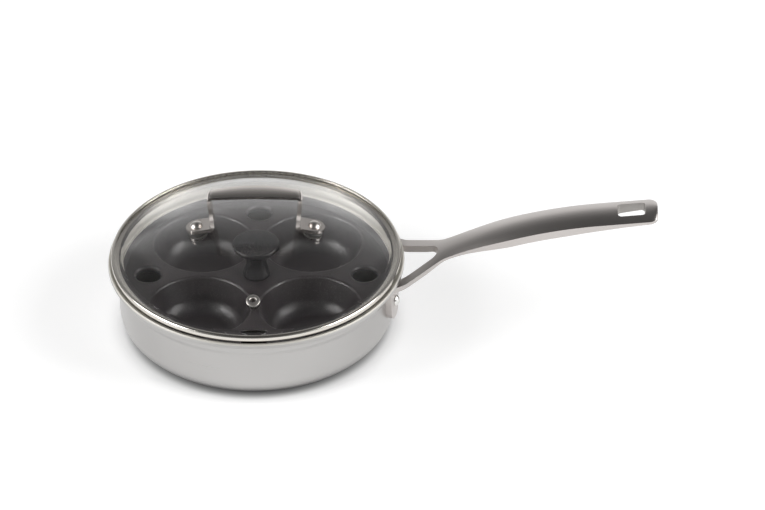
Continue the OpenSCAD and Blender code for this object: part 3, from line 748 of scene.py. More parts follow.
class Workshop:
    """Makes objects of shapes, dresses them and gives them their place among the CAD bodies."""

    def __init__(self) -> None:
        """Starts with no materials made."""
        self._materials: dict[str, bpy.types.Material] = {}
        self.count = 0

    def finish(self, look: Finish) -> bpy.types.Material:
        """The material of a finish, made once.

        Args:
            look: The finish.

        Returns:
            Its material.
        """
        if look.name not in self._materials:
            self._materials[look.name] = look.material()
        return self._materials[look.name]

    def piece(
        self,
        shape: Shape,
        name: str,
        looks: Sequence[Finish],
        body: str,
        slot: str,
        replaces: Sequence[str],
        sharp_deg: float = 40.0,
    ) -> bpy.types.Object:
        """Makes an object of a shape.

        Args:
            shape: The shape, which is used up.
            name: The piece's name.
            looks: Its finishes, in the order of their numbers on the faces.
            body: The CAD body that it rides on.
            slot: The record's material slot, which is not used.
            replaces: The CAD nodes that it stands for.
            sharp_deg: Edges that turn more than this stay sharp.

        Returns:
            The finished object.
        """
        obj = shape.ended(name)
        mesh = obj.data
        for look in looks:
            mesh.materials.append(self.finish(look))
        mesh.polygons.foreach_set("use_smooth", [True] * len(mesh.polygons))
        mesh.set_sharp_from_angle(angle=math.radians(sharp_deg))
        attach(obj, body)
        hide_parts(*replaces)
        self.count += 1
        log.info("%s: %d faces on %s, %s", name, len(mesh.polygons), body, looks[0].name)
        return obj

    def dress(self, look: Finish, *nodes: str) -> None:
        """Gives CAD nodes that stay as they are a finish.

        Args:
            look: The finish.
            nodes: The nodes' names.
        """
        for name in nodes:
            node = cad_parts[name]
            if not node.material_slots:
                node.data.materials.append(self.finish(look))
            for slot in node.material_slots:
                slot.material = self.finish(look)
            log.info("%s: CAD node, %s", name, look.name)


def rivet_head(radius: float, height: float, edge: float, base: float) -> Shape:
    """A rivet's head with a crowned top, standing on z = 0.

    Args:
        radius: Radius of the head.
        height: Height of its crown.
        edge: Height of its straight edge.
        base: How far it reaches down into what it sits on.

    Returns:
        The head as a closed shape.
    """
    shoulder_r, shoulder_drop, edge_r = 0.62 * radius, 0.25, 0.35
    crown = [Corner(0, -base), Corner(radius, -base), Corner(radius, edge, edge_r),
             Corner(shoulder_r, height - shoulder_drop, radius), Corner(0, height)]
    return Shape().turned(crown).facing_out()


# Sub-assemblies


@dataclass
class Pan:
    """The pan's shell."""

    wall_r: float = 97.4
    height: float = 52.0
    wall_t: float = 2.6
    base_r: float = 16.0
    lip_reach: float = 5.6
    lip_angle: float = 76.0
    seat_step: float = 1.4
    seat_angle: float = 22.0
    seat_clear: float = 0.8
    seat_bend: float = 4.0
    lip_round: float = 0.6

    def path(self) -> list[Corner]:
        """The outer face.

        Returns:
            Its corners, from the middle of the base to the edge of the lip.
        """
        lip = math.radians(self.lip_angle)
        flare = self.lip_reach / (1 - math.cos(lip))
        flare_z = self.height - (flare + self.wall_t) * math.sin(lip)
        top = flare_z - self.seat_clear
        low = top - self.seat_step / math.tan(math.radians(self.seat_angle))
        inner = self.wall_r - self.seat_step
        return [
            Corner(0, 0), Corner(inner, 0, self.base_r), Corner(inner, low, self.seat_bend),
            Corner(self.wall_r, top, self.seat_bend),
            Corner(self.wall_r, flare_z + flare * math.tan(lip / 2), flare),
            Corner(self.wall_r + self.lip_reach, flare_z + flare * math.sin(lip)),
        ]

    def build(self, shop: Workshop) -> None:
        """Makes the shell with its rounded lip, satin inside.

        Args:
            shop: Where it is made.
        """
        outline = sheet_profile(self.path(), self.wall_t, self.lip_round)
        half = len(outline) // 2
        near, far = outline[half - 1], outline[half]
        edge = Corner((near.x + far.x) / 2, (near.z + far.z) / 2)
        shell = Shape()
        for finish, side in enumerate((outline[:half] + [edge], [edge] + outline[half:])):
            shell.turned(side, steps=224, arc_steps=12, finish=finish)
        shop.piece(shell.facing_out(), "pan_shell", (PAN_STEEL, PAN_INSIDE), "pan", "pan_steel",
                   ("pan_outer_ply", "pan_core_ply", "pan_inner_ply"))


@dataclass
class LongHandle:
    """The cast handle: two pads, two prongs, the neck, the grip and its hanging slot."""

    wall_r: float = 97.4
    lip_z: float = 52.0
    tip_x: float = 277.5
    fork_x: float = 100.0
    fork_deg: float = 31.0
    fork_half: float = 29.0
    fork_soft: float = 1.2
    prong_w: float = 7.0
    crotch_r: float = 9.2
    neck_half: float = 11.4
    grip_half: float = 13.8
    tip_r: float = 6.0
    tip_deg: float = 83.0
    prong_drop: float = 5.2
    climb_deg: float = 23.0
    climb_run: float = 40.0
    climb_lead: float = 3.0
    climb_soft: float = 0.6
    end_deg: float = 5.2
    end_run: float = 39.5
    crown_h: float = 3.0
    prong_crown: float = 1.2
    side_h: float = 7.0
    side_thin: float = 2.4
    prong_side: float = 4.6
    side_lean: float = 1.6
    lean_share: float = 0.25
    belly_h: float = 3.6
    merge_run: float = 18.0
    swell_run: float = 44.0
    thin_run: float = 70.0
    root_rings: tuple[Span, ...] = ((92.6, 90.4), (97.0, 95.0))
    straight_x: float = 100.5
    slot_inset: float = 18.0
    slot_len: float = 19.0
    slot_w: float = 14.5
    slot_r: float = 2.5
    slot_shift: float = 0.4
    plain_gap: float = 1.2
    pad_inset: float = 3.2
    pad_w: float = 20.0
    pad_h: float = 25.0
    pad_t: float = 2.8
    pad_drop: float = 7.0
    pad_taper: float = 1.5
    pad_top_r: float = 1.5
    pad_low_r: float = 8.0
    pad_strip: float = 1.7
    pad_snap: float = 0.12
    pad_depth: float = 1.9
    rivet_drop: float = 18.6
    head_r: float = 4.0
    head_h: float = 3.0
    sunk_r: float = 3.6
    sunk_t: float = 0.75
    sunk_depth: float = 3.7
    edge_round: float = 0.7
    sharp_deg: float = 38.0
    ring_faces: tuple[int, int, int, int] = (10, 3, 10, 3)

    def __post_init__(self) -> None:
        """Works out what follows from the sizes."""
        fork = math.radians(self.fork_deg)
        self.slope = math.tan(fork)
        self.neck_x = self.fork_x + (self.fork_half - self.prong_w / math.cos(fork)) / self.slope
        self.crotch_x = self.neck_x - self.crotch_r / math.sin(fork)
        self.arc_x = self.crotch_x + self.crotch_r * math.sin(fork)
        self.climb, self.end = math.radians(self.climb_deg), math.radians(self.end_deg)
        self.ease_a = self.fork_x + self.climb_run
        self.ease_b = self.tip_x - self.end_run
        self.ease_r = (self.ease_b - self.ease_a) / (math.sin(self.climb) - math.sin(self.end))
        self.prong_z = self.lip_z - self.prong_drop
        self.ease_z = self.prong_z + (self.ease_a - self.fork_x - self.climb_lead) * math.tan(self.climb)
        self.end_z = self.ease_z + self.ease_r * (math.cos(self.end) - math.cos(self.climb))
        self.slot_x = self.tip_x - self.slot_inset
        self.pad_r = self.wall_r + self.pad_t
        self.pad_deg = math.degrees(math.asin((self.fork_half - self.pad_inset) / self.pad_r))
        self.rings = self.plan()

    def edge_z(self, x: float) -> float:
        """Height of the top edges.

        Args:
            x: Place along the handle.

        Returns:
            The height.
        """
        if x < self.ease_a:
            rise = self.ease_z - (self.ease_a - x) * math.tan(self.climb) - self.prong_z
            return self.prong_z + larger(rise, 0.0, self.climb_soft)
        if x < self.ease_b:
            angle = math.asin(math.sin(self.climb) - (x - self.ease_a) / self.ease_r)
            return self.ease_z + self.ease_r * (math.cos(angle) - math.cos(self.climb))
        return self.end_z + (x - self.ease_b) * math.tan(self.end)

    def grown(self, x: float) -> float:
        """How far the neck has grown into the grip at x, from 0 to 1."""
        return eased(x, self.neck_x, self.neck_x + self.swell_run)

    def thinned(self, x: float) -> float:
        """How far the grip has thinned towards its tip at x, from 0 to 1."""
        return eased(x, self.tip_x - self.thin_run, self.tip_x)

    def half(self, x: float) -> float:
        """Half width over the outer edges.

        Args:
            x: Place along the handle.

        Returns:
            The half width.
        """
        fork = self.fork_half - (x - self.fork_x) * self.slope
        beam = self.neck_half + (self.grip_half - self.neck_half) * self.grown(x)
        over = max(0.0, x - (self.tip_x - self.tip_r))
        rounding = self.tip_r - math.sqrt(max(0.0, self.tip_r ** 2 - over ** 2))
        return larger(fork, beam, self.fork_soft) - rounding

    def crown(self, x: float) -> float:
        """Rise of the top over its edges at x."""
        share = eased(x, self.neck_x - self.merge_run, self.neck_x + self.swell_run)
        return self.prong_crown + (self.crown_h - self.prong_crown) * share

    def side(self, x: float) -> float:
        """Height of the side faces.

        Args:
            x: Place along the handle.

        Returns:
            The height.
        """
        prong = (self.prong_side - self.side_thin) * (1 - eased(x, self.neck_x - self.merge_run, self.neck_x))
        grip = (self.side_h - self.side_thin) * self.grown(x)
        return self.side_thin + prong + grip * (1 - self.thinned(x))

    def belly(self, x: float) -> float:
        """Depth of the rounded under side at x."""
        full = eased(x, self.neck_x - self.merge_run, self.neck_x + self.merge_run)
        return self.belly_h * full * (1 - 0.5 * self.thinned(x))

    def fork_inner(self, x: float) -> float:
        """Distance of a prong's inner face from the middle line at x."""
        arc = math.sqrt(max(0.0, self.crotch_r ** 2 - (x - self.crotch_x) ** 2))
        return (self.neck_x - x) * self.slope if x < self.arc_x else arc

    def plan(self) -> list[Triple]:
        """Lays out the rings of the half handle.

        Returns:
            For each ring, x at the inner face, x at the outer face, and the inner face's distance from the middle.
        """
        rings = [(inner, outer, self.fork_inner(inner)) for inner, outer in self.root_rings]

        def row(xs: Sequence[float], inner: Callable[[float], float] = lambda x: 0.0) -> None:
            """Adds rings that stand square to the handle."""
            rings.extend((x, x, inner(x)) for x in xs)

        row(even(self.straight_x, self.arc_x, 7)[:-1], self.fork_inner)
        arc = [self.crotch_x + self.crotch_r * math.cos(math.radians(a)) for a in even(90 - self.fork_deg, 0, 8)]
        row(arc[:-1], self.fork_inner)
        row(arc[-1:])
        near, far = self.slot_x - self.slot_len / 2, self.slot_x + self.slot_len / 2
        row(even(arc[-1] + self.plain_gap, near - self.plain_gap, 44))
        corner = [(self.slot_r * (1 - math.cos(a)), self.slot_w / 2 - self.slot_r * (1 - math.sin(a)))
                  for a in even(0, math.pi / 2, 6)]
        rings.append((near, near - self.slot_shift, 0.0))
        rings.extend((near + run, near + run, y) for run, y in corner)
        row(even(near + self.slot_r, far - self.slot_r, 5)[1:-1], lambda x: self.slot_w / 2)
        rings.extend((far - run, far - run, y) for run, y in reversed(corner))
        rings.append((far, far + self.slot_shift, 0.0))
        last = self.tip_x - self.tip_r
        row(even(far + self.plain_gap, last, 3)[:-1])
        row([last + self.tip_r * math.sin(math.radians(a)) for a in even(0, self.tip_deg, 9)])
        return rings

    def point(self, ring: int, step: int) -> Vector:
        """A point of the half handle's skin.

        Args:
            ring: Number of the ring along the handle.
            step: Number of the point round the ring, from the inner top edge over the outer side.

        Returns:
            The point.
        """
        x_in, x_out, inner = self.rings[ring]
        top, side, low, back = self.ring_faces
        mean_x = (x_in + x_out) / 2
        outer = self.half(mean_x)
        lean = min(self.side_lean, self.lean_share * self.side(mean_x))
        if step <= top:
            share, drop = step / top, None
            y = inner + (outer - inner) * share
        elif step <= top + side:
            share, drop = 1.0, (step - top) / side
            y = outer - lean * drop
        elif step <= top + side + low:
            share, drop = 1 - (step - top - side) / low, None
            y = inner + (outer - lean - inner) * share
        else:
            share, drop = 0.0, 1 - (step - top - side - low) / back
            y = inner
        x = x_in + (x_out - x_in) * share
        edge = self.edge_z(x)
        up = edge + self.crown(x) * (1 - (min(y, outer) / outer) ** 2)
        down = edge - self.side(x) - self.belly(x) * (1 - (min(y, outer - lean) / (outer - lean)) ** 2)
        if drop is None:
            return Vector((x, y, up if step <= top else down))
        high, deep = (edge, edge - self.side(x)) if share == 1.0 else (up, down)
        return Vector((x, y, high + (deep - high) * drop))

    def cast(self) -> Shape:
        """The casting without its pads.

        Returns:
            A closed shape, whose slot wall takes the second finish.
        """
        shape = Shape().laid(len(self.rings) - 1, sum(self.ring_faces), self.point).merged(FINE_JOIN)
        flat = [f for f in shape.bm.faces if all(abs(v.co.y) < JOIN for v in f.verts)]
        bmesh.ops.delete(shape.bm, geom=flat, context="FACES_ONLY")
        shape.mirrored("Y")
        loose = [e for e in shape.bm.edges if not e.link_faces]
        bmesh.ops.delete(shape.bm, geom=loose, context="EDGES")
        rims = [e for e in shape.bm.edges if e.is_boundary]
        bmesh.ops.holes_fill(shape.bm, edges=rims, sides=0)
        shape.facing_out()
        slack, upright = 0.2, 0.3
        for face in shape.bm.faces:
            middle = face.calc_center_median()
            is_across = abs(middle.y) < self.slot_w / 2 + slack
            is_along = abs(middle.x - self.slot_x) < self.slot_len / 2 + slack
            if is_across and is_along and abs(face.normal.z) < upright:
                face.material_index = 1
        return shape

    def pad(self, side: int) -> Shape:
        """One pad, wrapped on the pan's wall.

        Args:
            side: -1 for the front pad, 1 for the back one.

        Returns:
            The pad as a closed shape.
        """
        top, half = self.lip_z - self.pad_drop, self.pad_w / 2
        low, low_half = top - self.pad_h, half - self.pad_taper
        shape = Shape()
        shape.wire([Corner(-half, top, self.pad_top_r), Corner(half, top, self.pad_top_r),
                    Corner(low_half, low, self.pad_low_r), Corner(-low_half, low, self.pad_low_r)], True)
        bmesh.ops.contextual_create(shape.bm, geom=shape.bm.edges[:])
        for i in range(-5, 6):
            bmesh.ops.bisect_plane(shape.bm, geom=shape.everything(), dist=self.pad_snap,
                                   plane_co=(i * self.pad_strip, 0, 0), plane_no=(1, 0, 0))
        for vert in shape.bm.verts:
            y = vert.co.x
            vert.co = Vector((math.sqrt(self.pad_r ** 2 - y ** 2), y, vert.co.z))
        grown = bmesh.ops.extrude_face_region(shape.bm, geom=shape.bm.faces[:])
        for vert in grown["geom"]:
            if isinstance(vert, bmesh.types.BMVert):
                vert.co.x = math.sqrt((self.wall_r - self.pad_depth) ** 2 - vert.co.y ** 2)
        return shape.facing_out().moved(spot(0, 0, 0, (side * self.pad_deg, "Z")))

    def rivet(self, side: int) -> Shape:
        """One rivet: the domed head outside and the sunk end inside.

        Args:
            side: -1 for the front rivet, 1 for the back one.

        Returns:
            Both as closed shapes.
        """
        end = Shape().turned([Corner(0, 0), Corner(self.sunk_r, 0), Corner(self.sunk_r, self.sunk_t, 0.3),
                              Corner(0, self.sunk_t)], steps=48, arc_steps=4).facing_out()
        rivet = rivet_head(self.head_r, self.head_h, edge=0.7, base=0.5).moved(spot(self.pad_r, 0, 0, (90, "Y")))
        rivet.add(end.moved(spot(self.wall_r - self.sunk_depth, 0, 0, (-90, "Y"))))
        return rivet.moved(spot(0, 0, self.lip_z - self.rivet_drop, (side * self.pad_deg, "Z")))

    def build(self, shop: Workshop) -> None:
        """Makes the casting and its rivets.

        Args:
            shop: Where they are made.
        """
        casting = self.cast()
        for side in (-1, 1):
            casting.add(self.pad(side))
        handle = shop.piece(casting, "handle_casting", (CAST_STEEL, SLOT_STEEL), "pan", "cast_handle",
                            ("long_handle",), self.sharp_deg)
        soften(handle, self.edge_round, self.sharp_deg)
        for side, name in ((-1, "handle_rivet_front"), (1, "handle_rivet_back")):
            shop.piece(self.rivet(side), f"{name}_head", (RIVET_STEEL,), "pan", "rivets", (name,))


@dataclass
class Tray:
    """The coated pressing with four cups and four steam holes, and its knob."""

    top_z: float = 36.8
    sheet_t: float = 1.2
    rim_h: float = 4.3
    seat_r: float = 93.4
    seat_z: float = 38.545
    seat_deg: float = 22.0
    gap: float = 0.3
    bend_r: float = 1.5
    bend_in: float = 1.2
    cup_edge: float = 2.7
    cup_land: float = 2.0
    cup_taper: float = 7.9
    cup_depth: float = 23.0
    cup_curve: float = 12.0
    mouth_r: float = 2.1
    steam_r: float = 8.6
    steam_inset: float = 18.4
    collar: float = 2.8
    knob_r: float = 16.3
    knob_h: float = 26.2
    knob_round: float = 1.4
    stem_r: float = 6.8
    stem_swell: float = 1.2
    foot_r: float = 9.4
    foot_h: float = 2.0
    waist_h: float = 9.0
    neck_drop: float = 4.0
    edge_t: float = 3.4

    def rim_r(self, z: float) -> float:
        """Radius of the rim's outer face at height z."""
        slope = math.radians(self.seat_deg)
        return self.seat_r + (z - self.seat_z) * math.tan(slope) - self.gap / math.cos(slope)

    def pressing(self) -> Shape:
        """The tray's upper skin: rim, flat, cups and collars.

        Returns:
            The skin as one open shape that looks up.
        """
        top, low, rim_top = self.top_z, self.top_z - self.sheet_t, self.top_z + self.rim_h
        rim = [Corner(self.rim_r(low) - self.bend_in, low), Corner(self.rim_r(low), low, self.bend_r),
               Corner(self.rim_r(rim_top), rim_top)]
        sine = math.sin(math.pi / 4)
        mouth = (self.seat_r - self.cup_edge - self.cup_land / 2 / sine) / (1 + 1 / sine)
        cup = [Corner(mouth, top), Corner(mouth - self.mouth_r, top, self.mouth_r),
               Corner(mouth - self.mouth_r - self.cup_taper, top - self.cup_depth, self.cup_curve),
               Corner(0, top - self.cup_depth)]
        steam = [Corner(self.steam_r + self.mouth_r, top), Corner(self.steam_r, top, self.mouth_r),
                 Corner(self.steam_r, low - self.collar)]
        cup_pitch, steam_pitch = (mouth + self.cup_land / 2) / sine, self.seat_r - self.steam_inset
        shape = Shape().turned(sheet_profile(rim, self.sheet_t)[len(rim):][::-1], steps=192, arc_steps=6)
        for i in range(4):
            for profile, reach, start, steps, arc_steps in (
                    (cup, cup_pitch, 45, 96, 12), (steam, steam_pitch, 0, 56, 8)):
                turn = math.radians(start + 90 * i)
                hollow = Shape().turned(profile, steps=steps, arc_steps=arc_steps)
                shape.add(hollow.moved(spot(reach * math.cos(turn), reach * math.sin(turn))))
        flat = [e for e in shape.bm.edges if e.is_boundary and all(abs(v.co.z - top) < JOIN for v in e.verts)]
        bmesh.ops.triangle_fill(shape.bm, edges=flat, use_beauty=True, normal=(0, 0, 1))
        return shape.merged().facing_up(min)

    def knob(self) -> Shape:
        """The moulded knob.

        Returns:
            The knob as a closed shape.
        """
        low, top = self.top_z, self.top_z + self.knob_h
        edge = top - self.edge_t
        return Shape().turned([
            Corner(0, low), Corner(self.foot_r, low, 0.8), Corner(self.foot_r, low + self.foot_h, 1.5),
            Corner(self.stem_r, low + self.waist_h, 8), Corner(self.stem_r + self.stem_swell, edge - self.neck_drop, 6),
            Corner(self.knob_r, edge, self.knob_round), Corner(self.knob_r, top, self.knob_round), Corner(0, top),
        ], steps=96).facing_out()

    def build(self, shop: Workshop) -> None:
        """Makes the tray and its knob, and dresses the fixings inside.

        Args:
            shop: Where they are made.
        """
        cups = [f"egg_cup_{place}" for place in ("back_right", "back_left", "front_left", "front_right")]
        tray = shop.piece(self.pressing(), "tray_pressing", (NON_STICK, CUT_EDGE), "tray", "non_stick",
                          ("egg_cup_tray", *cups))
        thicken(tray, self.sheet_t, is_even=False, rim_finish=1)
        tray.modifiers.new("flat faces", "WEIGHTED_NORMAL").keep_sharp = True
        shop.piece(self.knob(), "knob_moulding", (PHENOLIC,), "tray", "phenolic", ("tray_knob",))
        shop.dress(SLEEVE_BRASS, "knob_sleeve")
        shop.dress(RIVET_STEEL, "knob_screw", "knob_washer")


@dataclass
class Lid:
    """The glass dome, its rolled band and the steam vent."""

    lip_z: float = 52.0
    radius: float = 100.8
    band_top: float = 5.0
    skirt: float = 4.2
    flange: float = 2.6
    band_t: float = 0.4
    ring_drop: float = 2.4
    ring_r: float = 93.96
    ring_lean: float = 1.4
    glass_t: float = 3.0
    glass_gap: float = 0.6
    glass_round: float = 0.8
    dome_h: float = 21.2
    dome_inset: float = 4.6
    foot_curve: float = 6.0
    vent_inset: float = 22.1
    vent_r: float = 1.9
    eyelet_t: float = 0.6
    eyelet_r: float = 5.0
    eyelet_h: float = 1.1
    eyelet_edge: float = 0.75
    eyelet_end: float = 1.4
    grommet_t: float = 0.6

    def __post_init__(self) -> None:
        """Works out the dome's ball from its height and width."""
        self.band_z = self.lip_z + self.band_top
        self.rim_z = self.band_z - (self.skirt - self.glass_t) / 2
        self.dome_r = self.radius - self.flange - self.dome_inset
        self.crown_z = self.band_z + self.dome_h
        rise = self.crown_z - self.rim_z
        self.ball_r = (self.dome_r ** 2 + rise ** 2) / (2 * rise)

    def dome_z(self, angle: float) -> float:
        """Height of the dome at this angle from its top, in radians."""
        return self.crown_z - self.ball_r * (1 - math.cos(angle))

    def on_dome(self, distance: float, heading: float) -> Matrix:
        """Places a piece on the glass, its Z axis square to it.

        Args:
            distance: How far from the lid's middle.
            heading: Which way from the middle, from +X towards +Y.

        Returns:
            The placing matrix.
        """
        tilt = math.degrees(math.asin(distance / self.ball_r))
        ball = spot(0, 0, self.crown_z - self.ball_r, (heading, "Z"), (tilt, "Y"))
        return ball @ spot(0, 0, self.ball_r)

    def glass(self) -> Shape:
        """The domed glass with its flat edge.

        Returns:
            The glass as a closed shape.
        """
        arc = even(0, math.asin(self.dome_r / self.ball_r), 36)
        top = [Corner(self.ball_r * math.sin(a), self.dome_z(a)) for a in arc]
        top[-1] = Corner(top[-1].x, top[-1].z, self.foot_curve)
        top.append(Corner(self.radius - self.band_t - self.glass_gap, self.rim_z))
        outline = sheet_profile(top, -self.glass_t, self.glass_round)
        return Shape().turned(outline, steps=192, arc_steps=6).facing_out()

    def band(self) -> Shape:
        """The steel band rolled round the glass.

        Returns:
            The band as a closed shape.
        """
        low = self.band_z - self.skirt
        path = [
            Corner(self.radius - self.flange, self.band_z), Corner(self.radius, self.band_z, 1.6),
            Corner(self.radius, low, 1.2), Corner(self.ring_r + self.ring_lean, low, 0.6),
            Corner(self.ring_r, self.lip_z - self.ring_drop),
        ]
        outline = sheet_profile(path, -self.band_t, 0.15)
        return Shape().turned(outline, closed=True, steps=224, arc_steps=6).facing_out()

    def eyelet(self) -> Shape:
        """The vent's eyelet with its rolled edge.

        Returns:
            The eyelet as a closed shape, standing on the glass at z = 0.
        """
        bore, outer, flange = self.vent_r, self.vent_r + self.eyelet_t, self.eyelet_r
        low, seat, high = -self.glass_t - self.eyelet_end, self.grommet_t, self.grommet_t + self.eyelet_h
        outline = [
            Corner(bore, low), Corner(outer, low), Corner(outer, seat, 0.2), Corner(flange, seat, 0.3),
            Corner(flange - 0.3, seat + self.eyelet_edge, 0.5), Corner(bore + 1.4, high, 0.6),
            Corner(bore + 0.4, high, 0.5), Corner(bore, high - 0.8, 0.6),
        ]
        return Shape().turned(outline, closed=True, arc_steps=5).facing_out()

    def build(self, shop: Workshop) -> None:
        """Makes the glass, the band and the vent.

        Args:
            shop: Where they are made.
        """
        vent = self.eyelet().moved(self.on_dome(self.dome_r - self.vent_inset, -90))
        for shape, name, look, slot, node in (
                (self.glass(), "lid_dome", LID_GLASS, "glass", "lid_glass"),
                (self.band(), "lid_rolled_band", BAND_STEEL, "band_steel", "lid_band"),
                (vent, "vent_rolled_eyelet", HEAD_STEEL, "rivets", "vent_eyelet")):
            shop.piece(shape, name, (look,), "lid", slot, (node,))
        shop.dress(CLEAR_SEAL, "lid_seal")
        shop.dress(SILICONE, "vent_grommet")
        shop.dress(RIVET_STEEL, "vent_washer")


@dataclass
class LidHandle:
    """The bent strap on the lid with its feet, gaskets and rivets."""

    lid: Lid
    rivet_x: float = 40.1
    top: float = 56.39
    arch: float = 3.0
    bar_len: float = 66.7
    bar_w: float = 9.2
    swell: float = 4.6
    crown: float = 0.7
    crown_run: float = 4.0
    strap_t: float = 2.6
    foot_len: float = 61.2
    foot_w: float = 14.4
    foot_tip: float = 0.35
    foot_bend: float = 1.6
    bar_bend: float = 4.0
    flare_from: float = 2.0
    flare_run: float = 8.0
    edge_round: float = 0.6
    gasket_t: float = 2.0
    head_r: float = 4.3
    head_h: float = 2.6
    shank_r: float = 2.5
    shank_top: float = 4.8
    inner_drop: float = 2.5
    shank_end: float = 0.8
    inner_r: float = 3.7
    inner_h: float = 1.6
    bar_step: float = 3.0
    tip_step_deg: float = 9.0
    sharp_deg: float = 35.0
    soft_deg: float = 40.0

    def __post_init__(self) -> None:
        """Works out what follows from the sizes and the lid."""
        self.tilt = math.asin(self.rivet_x / self.lid.ball_r)
        self.over = self.gasket_t + self.strap_t
        self.bar_z = self.lid.lip_z + self.top
        self.bar_low = self.bar_z - self.arch - self.strap_t
        self.foot_r = self.foot_w / 2

    def foot_point(self, along: float, up: float) -> Vector:
        """A point of the right foot's middle plane, from its rivet outwards and up from the glass."""
        sine, cosine = math.sin(self.tilt), math.cos(self.tilt)
        return Vector((self.rivet_x + along * cosine + up * sine,
                       self.lid.dome_z(self.tilt) - along * sine + up * cosine))

    def path(self) -> list[Vector]:
        """The strap's top line.

        Returns:
            Its points in the XZ plane, from the right foot's end to the middle of the bar.
        """
        leg = (self.foot_len / 2 - self.foot_point(0, self.over).x) / math.cos(self.tilt)
        feet = [self.foot_point(self.foot_r, self.over), self.foot_point(leg, self.over)]
        bar = [Vector((self.bar_len / 2 * t, self.bar_z - self.arch * t * t)) for t in even(1, 0, 8)]
        bends = [0.0, self.foot_bend, self.bar_bend] + [0.0] * (len(bar) - 1)
        shape = Shape()
        shape.wire([Corner(p.x, p.y, r) for p, r in zip(feet + bar, bends)], False)
        line = shape.walked()
        shape.bm.free()
        return [Vector((p.x, p.z)) for p in line]

    def width(self, point: Vector, travelled: float) -> float:
        """Half width of the strap.

        Args:
            point: A point of its path.
            travelled: The path's length from the foot's end to there.

        Returns:
            The half width.
        """
        if travelled < self.foot_r:
            return max(self.foot_tip, math.sqrt(max(0.0, self.foot_r ** 2 - (self.foot_r - travelled) ** 2)))
        if point.y < self.bar_low:
            start = self.foot_point(0, self.over).y + self.flare_from
            return self.foot_r + (self.bar_w / 2 - self.foot_r) * eased(point.y, start, start + self.flare_run)
        t = min(1.0, abs(point.x) / (self.bar_len / 2))
        return self.bar_w / 2 + self.swell / 2 * (1 - t * t)

    def stations(self) -> list[tuple[Vector, float]]:
        """Cuts the path into short steps, shortest at the foot's round end.

        Returns:
            Each point, and the path's length from the foot's end to there.
        """
        line, travelled = self.path(), 0.0
        fine: list[tuple[Vector, float]] = []
        for a, b in zip(line, line[1:]):
            length = (b - a).length
            if travelled == 0.0:
                turns = even(0, math.pi / 2, round(90 / self.tip_step_deg))[:-1]
                cuts = [self.foot_r * (1 - math.cos(turn)) for turn in turns]
                fine += [(a.lerp(b, cut / length), cut) for cut in cuts if cut < length]
            else:
                count = max(1, round(length / self.bar_step))
                fine += [(a.lerp(b, i / count), travelled + length * i / count) for i in range(count)]
            travelled += length
        return fine + [(line[-1], travelled)]

    def strap(self) -> Shape:
        """The strap's upper skin with its crowned bar.

        Returns:
            The skin as one open shape that looks up.
        """
        fine, columns = self.stations(), 8
        rows = len(fine) - 1

        def skin(row: int, column: int) -> Vector:
            """A point of the right half.

            Args:
                row: Its number along the strap.
                column: Its number across.

            Returns:
                The point.
            """
            point, run = fine[row]
            way = (fine[min(row + 1, rows)][0] - fine[max(row - 1, 0)][0]).normalized()
            share = 2 * column / columns - 1
            crowned = self.crown * eased(point.y, self.bar_low - self.crown_run, self.bar_low + self.crown_run)
            place = point - Vector((way.y, -way.x)) * (crowned * share * share)
            return Vector((place.x, share * self.width(point, run), place.y))

        return Shape().laid(rows, columns, skin).mirrored("X").facing_up(max)

    def rivet(self) -> Shape:
        """One rivet through foot, gaskets and glass.

        Returns:
            Its head, shank and inner end as closed shapes, standing on the glass at z = 0.
        """
        low = -self.lid.glass_t - self.inner_drop
        foot = low - self.shank_end
        shank = [Corner(0, foot), Corner(self.shank_r, foot), Corner(self.shank_r, self.shank_top),
                 Corner(0, self.shank_top)]
        rivet = rivet_head(self.head_r, self.head_h, edge=0.6, base=0.3).moved(spot(0, 0, self.over))
        rivet.add(Shape().turned(shank, steps=40, arc_steps=2).facing_out())
        inner = rivet_head(self.inner_r, self.inner_h, edge=0.4, base=0.2)
        return rivet.add(inner.moved(spot(0, 0, low, (180, "X"))))

    def build(self, shop: Workshop) -> None:
        """Makes the strap and its rivets, and dresses the gaskets and washers.

        Args:
            shop: Where they are made.
        """
        strap = shop.piece(self.strap(), "lid_handle_strap", (STRAP_STEEL,), "lid", "lid_handle", ("lid_handle",),
                           self.sharp_deg)
        thicken(strap, self.strap_t, is_even=True)
        soften(strap, self.edge_round, self.soft_deg)
        for side, heading in (("right", 0), ("left", 180)):
            name = f"lid_rivet_{side}"
            rivet = self.rivet().moved(self.lid.on_dome(self.rivet_x, heading))
            shop.piece(rivet, f"{name}_set", (HEAD_STEEL,), "lid", "rivets", (name,))
            shop.dress(SILICONE, f"foot_gasket_{side}", f"inner_gasket_{side}")
            shop.dress(RIVET_STEEL, f"inner_washer_{side}")


# Studio


def swung(first: Vector, second: Vector, angle: float) -> tuple[Vector, Vector]:
    """Two directions turned in their own plane by an angle in radians, the first one towards the second."""
    sine, cosine = math.sin(angle), math.cos(angle)
    return first * cosine + second * sine, second * cosine - first * sine


@dataclass(frozen=True)
class Softbox:
    """A soft lamp that looks at the pan, with lengths in metres."""

    name: str
    place: Triple
    size: Span
    watts: float
    aim: Triple = (0.04, 0.0, 0.04)

    def hang(self) -> None:
        """Hangs the lamp, unseen by the camera itself."""
        lamp = bpy.data.lights.new(self.name, "AREA")
        lamp.shape = "RECTANGLE"
        lamp.size, lamp.size_y = self.size
        lamp.energy = self.watts
        obj = bpy.data.objects.new(self.name, lamp)
        obj.location = self.place
        obj.rotation_mode = "QUATERNION"
        obj.rotation_quaternion = (Vector(self.place) - Vector(self.aim)).to_track_quat("Z", "Y")
        obj.visible_camera = False
        bpy.context.scene.collection.objects.link(obj)


